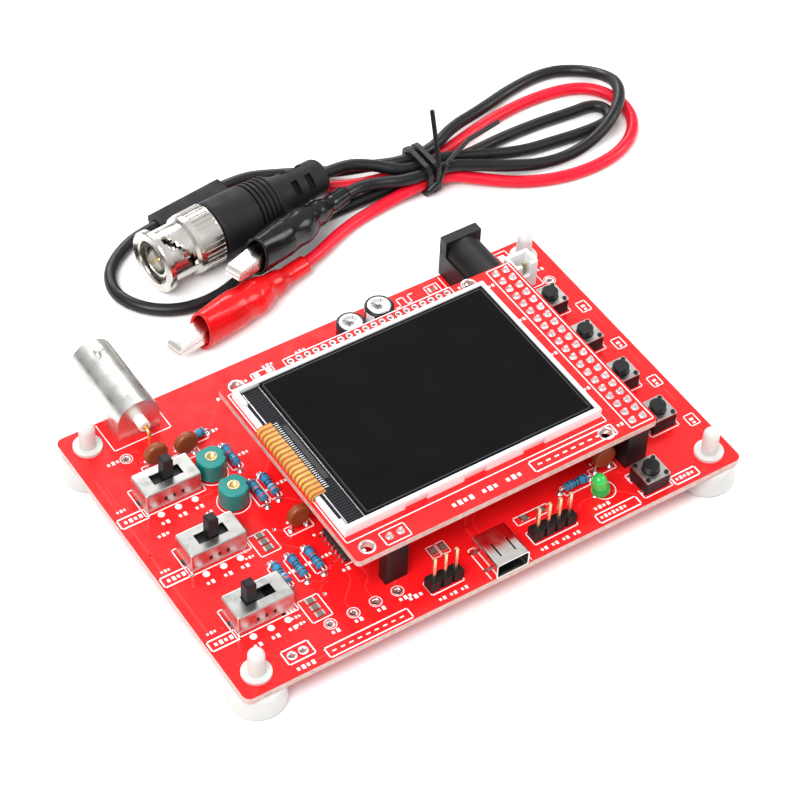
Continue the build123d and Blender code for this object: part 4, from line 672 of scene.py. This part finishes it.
def metal_main_board():
    bm = bmesh.new()
    for x, y in wire_feet:
        solder(bm, x, y, BOARD, 0.2, 0.72, 0.35)
        solder_under = spot(x, y, 0)
        low = BOARD - 1.6
        profile = [
            (0.2, low), (0.2, low - 0.95), (0.3, low - 0.9), (0.5, low - 0.4), (0.85, low - 0.05), (0.85, low),
        ]
        lathe(bm, profile, solder_under, 16)
    for x, y in serial + program:
        ring_pad(bm, x, y, BOARD, 0.5, 0.9)
    for x, y in display_pins + small_pins + serial + program:
        low = BOARD - 1.6
        profile = [
            (0.22, low), (0.22, low - 1.0), (0.42, low - 0.9), (0.62, low - 0.4), (0.95, low - 0.05), (0.95, low),
        ]
        lathe(bm, profile, spot(x, y, 0), 16)
    piece_from("board_solder", bm, [tin], smooth=True)
    bm = bmesh.new()
    for x, y in rings:
        ring_pad(bm, x, y, BOARD, 0.5, 0.95)
    for x, y in ground_pads:
        ring_pad(bm, x, y, BOARD, 0.52, 1.05)
    slab(bm, 30.2, 34.55, 30.66, 35.9, BOARD, BOARD + 0.05)
    slab(bm, 31.8, 34.55, 32.2, 35.9, BOARD, BOARD + 0.05)
    slab(bm, 48.6, 33.7, 50.2, 36.1, BOARD, BOARD + 0.05)
    for x, y in [
        (-32.5, -4.9), (-32.5, -23.8), (-52.0, 31.8), (-24.4, 31.0), (-20.4, 27.8), (44.8, 10.5), (45.4, -3.8),
    ]:
        ring_pad(bm, x, y, BOARD, 0.1, 0.42, 14)
    piece_from("board_pads", bm, [tin])
    bm = bmesh.new()
    spots = [(-55 + (i * 37 % 110), -36 + (i * 53 % 72)) for i in range(70)]
    for x, y in spots:
        if abs(x) > 53 and abs(y) > 28:
            continue
        profile = [(0.16, BOARD), (0.36, BOARD), (0.32, BOARD + 0.03), (0.18, BOARD + 0.03)]
        lathe(bm, profile, spot(x + 0.31, y + 0.17, 0), 12)
    piece_from("board_vias", bm, [traces])


def route_trace(bm, start, end, width=0.32):
    """A flat track: straight, then a 45 degree run, then straight."""
    (x0, y0), (x1, y1) = start, end
    dx, dy = x1 - x0, y1 - y0
    diagonal = min(abs(dx), abs(dy))
    sx, sy = (1 if dx >= 0 else -1), (1 if dy >= 0 else -1)
    if abs(dx) > abs(dy):
        first = (x0 + sx * (abs(dx) - diagonal) / 2, y0)
    else:
        first = (x0, y0 + sy * (abs(dy) - diagonal) / 2)
    second = (first[0] + sx * diagonal, first[1] + sy * diagonal)
    for (ax, ay), (bx, by) in zip((start, first, second), (first, second, end)):
        run = Vector((bx - ax, by - ay))
        if run.length < 0.05:
            continue
        step = run.normalized() * width / 2
        off = Vector((-step.y, step.x))
        a, b = Vector((ax, ay)) - step * 0.6, Vector((bx, by)) + step * 0.6
        prism(bm, [a - off, b - off, b + off, a + off], BOARD - 0.01, BOARD + 0.018)


def tracks_main_board():
    bm = bmesh.new()
    pairs = [
        ((-48.25, 13.2), (-38.2, 9.8)), ((-43.05, 13.2), (-35.6, 9.9)), ((-49.5, 16.4), (-46.0, 21.6)),
        ((-42.4, 21.6), (-39.4, 21.0)), ((-35.8, 21.0), (-30.4, 19.5)), ((-30.4, 11.9), (-30.65, 8.5)),
        ((-27.75, 8.9), (-21.5, 12.4)), ((-27.75, 1.3), (-22.0, -2.2)), ((-30.65, 0.9), (-33.2, 2.2)),
        ((-48.25, -4.5), (-38.2, -5.0)), ((-45.65, -4.5), (-38.6, -6.75)), ((-43.05, -4.5), (-38.8, -8.5)),
        ((-48.25, -22.2), (-38.2, -24.0)), ((-45.65, -22.2), (-38.6, -25.8)), ((-43.05, -22.2), (-38.8, -27.6)),
        ((-34.0, -4.95), (-28.9, -6.9)), ((-34.0, -8.5), (-30.1, -11.9)), ((-37.65, -11.9), (-37.3, -9.9)),
        ((-30.1, -19.5), (-26.2, -18.0)), ((-33.9, -19.5), (-30.4, -21.5)), ((-34.0, -24.0), (-30.1, -19.6)),
        ((-34.0, -27.6), (-35.5, -30.0)), ((-30.3, -30.0), (-26.2, -20.6)), ((-25.2, -30.0), (-23.0, -21.0)),
        ((-20.2, -30.0), (-16.0, -24.0)), ((-13.8, -32.0), (-8.9, -27.6)), ((-11.3, -32.0), (-6.7, -27.6)),
        ((-0.2, -29.4), (2.0, -16.0)), ((1.6, -29.4), (4.0, -16.0)), ((10.6, -32.0), (11.1, -29.0)),
        ((13.1, -32.0), (15.1, -29.0)), ((15.7, -32.0), (21.1, -26.5)), ((18.2, -32.0), (26.9, -30.6)),
        ((28.7, -26.5), (30.4, -25.6)), ((34.0, -25.6), (35.3, -30.8)), ((29.5, -30.6), (35.2, -35.2)),
        ((46.3, 15.4), (42.4, 14.0)), ((46.3, 2.6), (42.4, 1.4)), ((46.3, -10.2), (42.4, -11.4)),
        ((46.3, -22.9), (42.4, -21.6)), ((52.8, 20.0), (56.6, 8.0)), ((52.8, 7.3), (56.6, -6.0)),
        ((52.8, -5.5), (56.4, -18.0)), ((52.8, -18.2), (55.8, -28.0)), ((-42.9, 26.2), (-44.0, 23.0)),
        ((-50.0, 26.4), (-46.4, 24.0)), ((-38.2, 24.1), (-40.8, 22.6)), ((-30.6, 24.1), (-24.4, 31.0)),
        ((-24.4, 31.0), (-4.0, 26.0)), ((-20.4, 27.8), (2.0, 30.0)), ((17.0, 30.0), (30.2, 35.2)),
        ((7.6, 28.8), (12.7, 30.0)), ((45.9, 27.2), (41.0, 22.0)), ((50.6, 27.2), (54.4, 25.5)),
        ((-56.6, 24.0), (-56.6, -20.0)), ((-55.6, 22.0), (-54.0, 8.0)), ((-56.0, -29.8), (-38.0, -36.4)),
    ]
    for number, (start, end) in enumerate(pairs):
        route_trace(bm, start, end, 0.3 if number % 3 else 0.5)
    piece_from("board_tracks", bm, [traces])


# ---------------------------------------------------------------- display board

def dress_display():
    ink_on = Print(DISPLAY)
    ink_on.box(36.0, -28.3, 41.55, 23.1)
    ink_on.box(-21.65, -28.6, -16.1, -25.2)
    ink_on.box(-13.6, 21.1, 27.0, 23.45)
    ink_on.box(-21.35, 21.6, -16.3, 23.2)
    ink_on.box(-28.0, -24.1, 33.0, 20.6)
    ink_on.word(-26.4, -27.9, 1, 1.4)
    ink_on.word(-5.6, -27.6, 4, 1.7)
    ink_on.word(1.4, -27.6, 3, 1.7)
    ink_on.word(7.0, -27.6, 3, 1.7)
    ink_on.box(13.2, -28.0, 33.0, -25.2, width=0.3)
    for number in range(9):
        ink_on.bar(14.6 + number * 2.0, -26.75, 15.6 + number * 2.0, -26.4)
    ink_on.word(-25.0, 21.7, 3, 1.2)
    for number in range(5):
        ink_on.word(34.0, -26.9 + number * 11.4, 2, 1.1)
    ink_on.word(28.4, 21.6, 3, 1.2)
    piece_from("display_print", ink_on.bm, [ink])
    bm = bmesh.new()
    for x, y in display_pins + small_pins:
        solder(bm, x, y, DISPLAY, 0.3, 0.88, 0.85)
    piece_from("display_solder", bm, [tin], smooth=True)
    bm = bmesh.new()
    for x, y in test_row:
        ring_pad(bm, x, y, DISPLAY, 0.4, 0.72, 20)
    x_middle, y_middle = 2.9, -2.45
    for sx in (-1, 1):
        for sy in (-1, 1):
            ring_pad(bm, x_middle + sx * 28.05, y_middle + sy * 24.35, DISPLAY, 1.3, 1.75, 32)
    slab(bm, -20.9, 21.9, -19.6, 22.9, DISPLAY, DISPLAY + 0.05)
    slab(bm, -18.0, 21.9, -16.7, 22.9, DISPLAY, DISPLAY + 0.05)
    piece_from("display_pads", bm, [tin])
    bm = bmesh.new()
    for number in range(10):
        x = -12 + number * 4.2
        slab(bm, x, -24.9, x + 0.28, -24.3, DISPLAY - 0.01, DISPLAY + 0.018)
        slab(bm, 34.4, -22 + number * 4.0, 35.9, -21.7 + number * 4.0, DISPLAY - 0.01, DISPLAY + 0.018)
    piece_from("display_tracks", bm, [traces])
    bm = bmesh.new()
    glass_top, ledge_top = 22.64, 22.04
    slab(bm, -22.35, -22.9 + 1.4, -22.15, 18.2, ledge_top, ledge_top + 0.05)
    slab(bm, -26.2, -21.2, -25.95, 18.0, ledge_top, ledge_top + 0.05)
    for number in range(34):
        y = -11.4 + number * 0.58
        slab(bm, -25.1, y, -24.2, y + 0.2, ledge_top + 0.2, ledge_top + 0.24)
    slab(bm, -24.0, -9.5, -22.9, 6.5, ledge_top, ledge_top + 0.35, 1)
    piece_from("display_ledge_bonds", bm, [tin, chip_body])
    bm = bmesh.new()
    left, right, front, back = -21.75, 30.9, -21.2, 17.9
    for x0, y0, x1, y1 in (
        (left, front, right, front + 0.12), (left, back - 0.12, right, back),
        (left, front, left + 0.12, back), (right - 0.12, front, right, back),
    ):
        slab(bm, x0 + 0.3, y0 + 0.3, x1 - 0.05, y1 - 0.05, glass_top - 0.01, glass_top + 0.015)
    piece_from("display_window_line", bm, [chip_body])


# ---------------------------------------------------------------- marks on the parts

def mark_parts():
    band_colours = {
        "brown": (0.10, 0.025, 0.008), "black": (0.006, 0.006, 0.006), "red": (0.55, 0.01, 0.01),
        "orange": (0.75, 0.16, 0.01), "white": (0.8, 0.8, 0.78),
    }
    paints = {
        key: moulded(f"band_{key}", value, 0.34, vary=0.1).material for key, value in band_colours.items()
    }
    names = list(paints)
    bm = bmesh.new()
    sets = [(0, 1, 1, 2, 0), (3, 4, 1, 1, 0), (2, 1, 1, 3, 0), (0, 1, 1, 1, 0)]
    for number, (x, y, flat) in enumerate(resistors):
        lie = Matrix.Rotation(pi / 2, 4, "Y") if flat else Matrix.Rotation(-pi / 2, 4, "X")
        place = spot(x, y, BOARD + 1.1) @ lie
        for band, at in zip(sets[number % 4], (-2.0, -1.05, -0.3, 0.45, 1.95)):
            radius = 0.965 if abs(at) > 1.6 else 0.80 + 0.14 * (abs(at) / 1.6) ** 2
            profile = [
                (radius - 0.12, at - 0.17), (radius, at - 0.17), (radius, at + 0.17), (radius - 0.12, at + 0.17),
            ]
            lathe(bm, profile, place, 24, band)
    piece_from("resistor_bands", bm, [paints[key] for key in names])

    bm = bmesh.new()
    for along_x, places in ((True, chips_x), (False, chips_y)):
        for x, y in places:
            for side in (-1, 1):
                near, far, half = 0.62, 1.03, 0.64
                if along_x:
                    slab(
                        bm, x + min(side * near, side * far), y - half, x + max(side * near, side * far), y + half,
                        BOARD, BOARD + 0.53,
                    )
                else:
                    slab(
                        bm, x - half, y + min(side * near, side * far), x + half, y + max(side * near, side * far),
                        BOARD, BOARD + 0.53,
                    )
    chip_ends = piece_from("chip_end_caps", bm, [tin])
    rounding = chip_ends.modifiers.new("rounding", "BEVEL")
    rounding.width = 0.06 * MM
    rounding.segments = 2

    bm = bmesh.new()
    for number, (x, y) in enumerate(cans):
        top = BOARD + 8.5
        profile = [(0.02, top - 0.05), (2.55, top - 0.05), (2.5, top + 0.03), (2.2, top + 0.05), (0.02, top + 0.05)]
        lathe(bm, profile, spot(x, y, 0), 36, 0)
        # The dark cross on each can top is painted shade standing in for the scored vent grooves.
        for turn in (0, 1):
            across = 1.9
            angle = radians(45 + 90 * turn)
            step = Vector((cos(angle), sin(angle)))
            off = Vector((-step.y, step.x)) * 0.07
            a, b = Vector((x, y)) - step * across, Vector((x, y)) + step * across
            prism(bm, [a - off, b - off, b + off, a + off], top + 0.045, top + 0.058, 1)
        facing = radians(235 if number == 0 else 200)
        rows = []
        for step in range(9):
            angle = facing + radians(-20 + 5 * step)
            rows.append([
                bm.verts.new(Vector((x + r * cos(angle), y + r * sin(angle), z)) * MM)
                for r, z in ((3.14, BOARD + 1.9), (3.165, BOARD + 1.9), (3.165, top - 0.5), (3.14, top - 0.5))
            ])
        for here, there in zip(rows, rows[1:]):
            for j in range(4):
                k = (j + 1) % 4
                bm.faces.new((here[j], there[j], there[k], here[k])).material_index = 2
        for row in (rows[0], rows[-1]):
            bm.faces.new(row).material_index = 2
    can_metal = brushed("can_aluminium", (0.80, 0.80, 0.81), 0.3)
    piece_from("can_tops", bm, [can_metal, chip_body, ink])

    bm = bmesh.new()
    for x, y in buttons:
        for sx in (-1, 1):
            for sy in (-1, 1):
                profile = [(0.02, 0.0), (0.42, 0.0), (0.40, 0.1), (0.25, 0.2), (0.02, 0.24)]
                lathe(bm, profile, spot(x + sx * 2.25, y + sy * 2.25, BOARD + 3.3), 16)
    piece_from("button_rivets", bm, [plastic_black], smooth=True)


# ---------------------------------------------------------------- clip boots

def dress_boot(name, place, material, creases):
    """A dipped vinyl boot: an oval tube that narrows in soft steps, with a rolled lip and creases."""
    long, wall, bore, lip = 32.0, 0.68, 1.45, 0.12
    # along the clip, half width, height above the axis, depth below it
    stations = [
        (0.0, 3.3, 5.05, 4.55), (9.0, 4.1, 5.0, 4.28), (15.5, 4.3, 4.4, 3.83),
        (21.5, 3.0, 3.5, 3.35), (26.5, 2.15, 2.2, 2.2), (long, 2.1, 2.1, 2.1),
    ]

    def section(at):
        for here, there in zip(stations, stations[1:]):
            if at <= there[0]:
                t = (at - here[0]) / (there[0] - here[0])
                t = t * t * (3 - 2 * t) * 0.5 + t * 0.5
                return [a + (b - a) * t for a, b in zip(here[1:], there[1:])]
        return list(stations[-1][1:])

    rows = []
    steps = 96
    for step in range(steps + 1):
        at = long * step / steps
        sizes = section(at)
        dent = 1.0
        for centre, depth, length in creases:
            dent -= depth * max(0.0, 1 - ((at - centre) / length) ** 2)
        rows.append((at, [size * dent for size in sizes], 0))
    rows[0] = (lip, [size * 0.985 for size in rows[0][1]], 0)
    rows.append((31.7, [1.5, 1.5, 1.5], 1))
    for step in range(28):
        at = 31.4 - 31.4 * step / 27
        rows.append((max(at, 0.0), [max(size - wall, bore) for size in section(at)], 1))
    rows[-1] = (lip, [size * 1.03 for size in rows[-1][1]], 1)
    bm = bmesh.new()
    sides = 56
    loops = []
    for at, (wide, above, below), inner in rows:
        loop = []
        for side in range(sides):
            angle = 2 * pi * side / sides
            swell = 1.0
            if not inner:
                swell = 1.0 - 0.016 * max(0.0, sin(3 * angle + at * 0.35)) * min(1.0, at / 8)
            tall = above if sin(angle) > 0 else below
            point = place @ Vector((at, wide * swell * cos(angle), tall * swell * sin(angle)))
            loop.append(bm.verts.new(point * MM))
        loops.append(loop)
    loops.append(loops[0])
    for here, there in zip(loops, loops[1:]):
        for i in range(sides):
            j = (i + 1) % sides
            bm.faces.new((here[i], here[j], there[j], there[i]))
    piece_from(name, bm, [material], "test_lead", smooth=True, replaces=name.replace("_skin", ""))


dress_boot(
    "red_clip_boot_skin", red_clip, vinyl_red, [(13.5, 0.05, 2.4), (21.0, 0.07, 2.0), (25.6, 0.04, 1.3)],
)
dress_boot(
    "black_clip_boot_skin", black_clip, vinyl_black,
    [(12.0, 0.04, 2.6), (20.0, 0.06, 2.2), (26.0, 0.04, 1.3)],
)

cord_curve(
    "coax_cord", coax_route, "coax_cable", "black_sheath", sheath_black, length=0.254, far_end="fitting",
    with_pieces=[
        "plug_body", "plug_coupling_ring", "plug_insulator", "plug_pin", "plug_grip", "lead_split", "cable_tie",
    ],
)
cord_curve(
    "red_cord", red_route, "red_wire", "red_sheath", sheath_red, length=0.2248, far_end="connector",
    with_pieces=["red_clip_boot_skin", "red_clip_upper_jaw", "red_clip_lower_jaw"],
)
cord_curve(
    "black_cord", black_route, "black_wire", "black_sheath", sheath_black, length=0.2118, far_end="connector",
    with_pieces=["black_clip_boot_skin", "black_clip_upper_jaw", "black_clip_lower_jaw"],
)

print_main_board()
metal_main_board()
tracks_main_board()
dress_display()
mark_parts()


# ---------------------------------------------------------------- floor and light

def make_floor():
    bm = bmesh.new()
    prism(bm, [(-3000, -3000), (3000, -3000), (3000, 3000), (-3000, 3000)], -10.0, -0.05)
    bmesh.ops.recalc_face_normals(bm, faces=bm.faces)
    data = bpy.data.meshes.new("floor")
    bm.to_mesh(data)
    bm.free()
    finish = Finish("pale_floor")
    paint = finish.blend(
        finish.spread(finish.noise(4.0, 2.0), 0.0, 1.0), (0.90, 0.90, 0.90), (0.92, 0.92, 0.92),
    )
    finish.link(paint, "Base Color")
    finish.set(Roughness=0.8)
    data.materials.append(finish.material)
    floor = bpy.data.objects.new("floor", data)
    bpy.context.collection.objects.link(floor)


def soft_light(name, place, aim, power, size):
    data = bpy.data.lights.new(name, "AREA")
    data.shape = "RECTANGLE"
    data.size, data.size_y = size
    data.energy = power
    light = bpy.data.objects.new(name, data)
    light.location = place
    light.rotation_euler = (Vector(aim) - Vector(place)).to_track_quat("-Z", "Y").to_euler()
    bpy.context.collection.objects.link(light)


make_floor()


def studio_world():
    """A pale room: bright overhead, greyer towards the horizon, with one dim band."""
    world = bpy.data.worlds.new("studio")
    world.use_nodes = True
    nodes, links = world.node_tree.nodes, world.node_tree.links
    direction = nodes.new("ShaderNodeTexCoord").outputs["Generated"]
    split = nodes.new("ShaderNodeSeparateXYZ")
    links.new(direction, split.inputs[0])
    ramp = nodes.new("ShaderNodeValToRGB")
    links.new(split.outputs["Z"], ramp.inputs[0])
    stops = ramp.color_ramp.elements
    stops[0].position, stops[0].color = 0.0, (0.30, 0.30, 0.31, 1.0)
    stops[1].position, stops[1].color = 1.0, (1.0, 1.0, 1.0, 1.0)
    for position, grey in ((0.12, 0.16), (0.28, 0.62), (0.55, 0.78)):
        stop = stops.new(position)
        stop.color = (grey, grey, grey, 1.0)
    background = nodes["Background"]
    links.new(ramp.outputs[0], background.inputs["Color"])
    background.inputs["Strength"].default_value = 0.9
    bpy.context.scene.world = world


studio_world()
soft_light("key", (-0.5, -0.25, 0.8), (0.0, 0.0, 0.0), 9.5, (0.5, 0.5))
soft_light("back", (0.15, 0.85, 0.55), (0.0, 0.02, 0.0), 6.0, (0.8, 0.3))
soft_light("side", (0.8, -0.3, 0.5), (0.0, 0.0, 0.0), 3.5, (0.4, 0.4))
bpy.context.scene.view_settings.view_transform = "Standard"
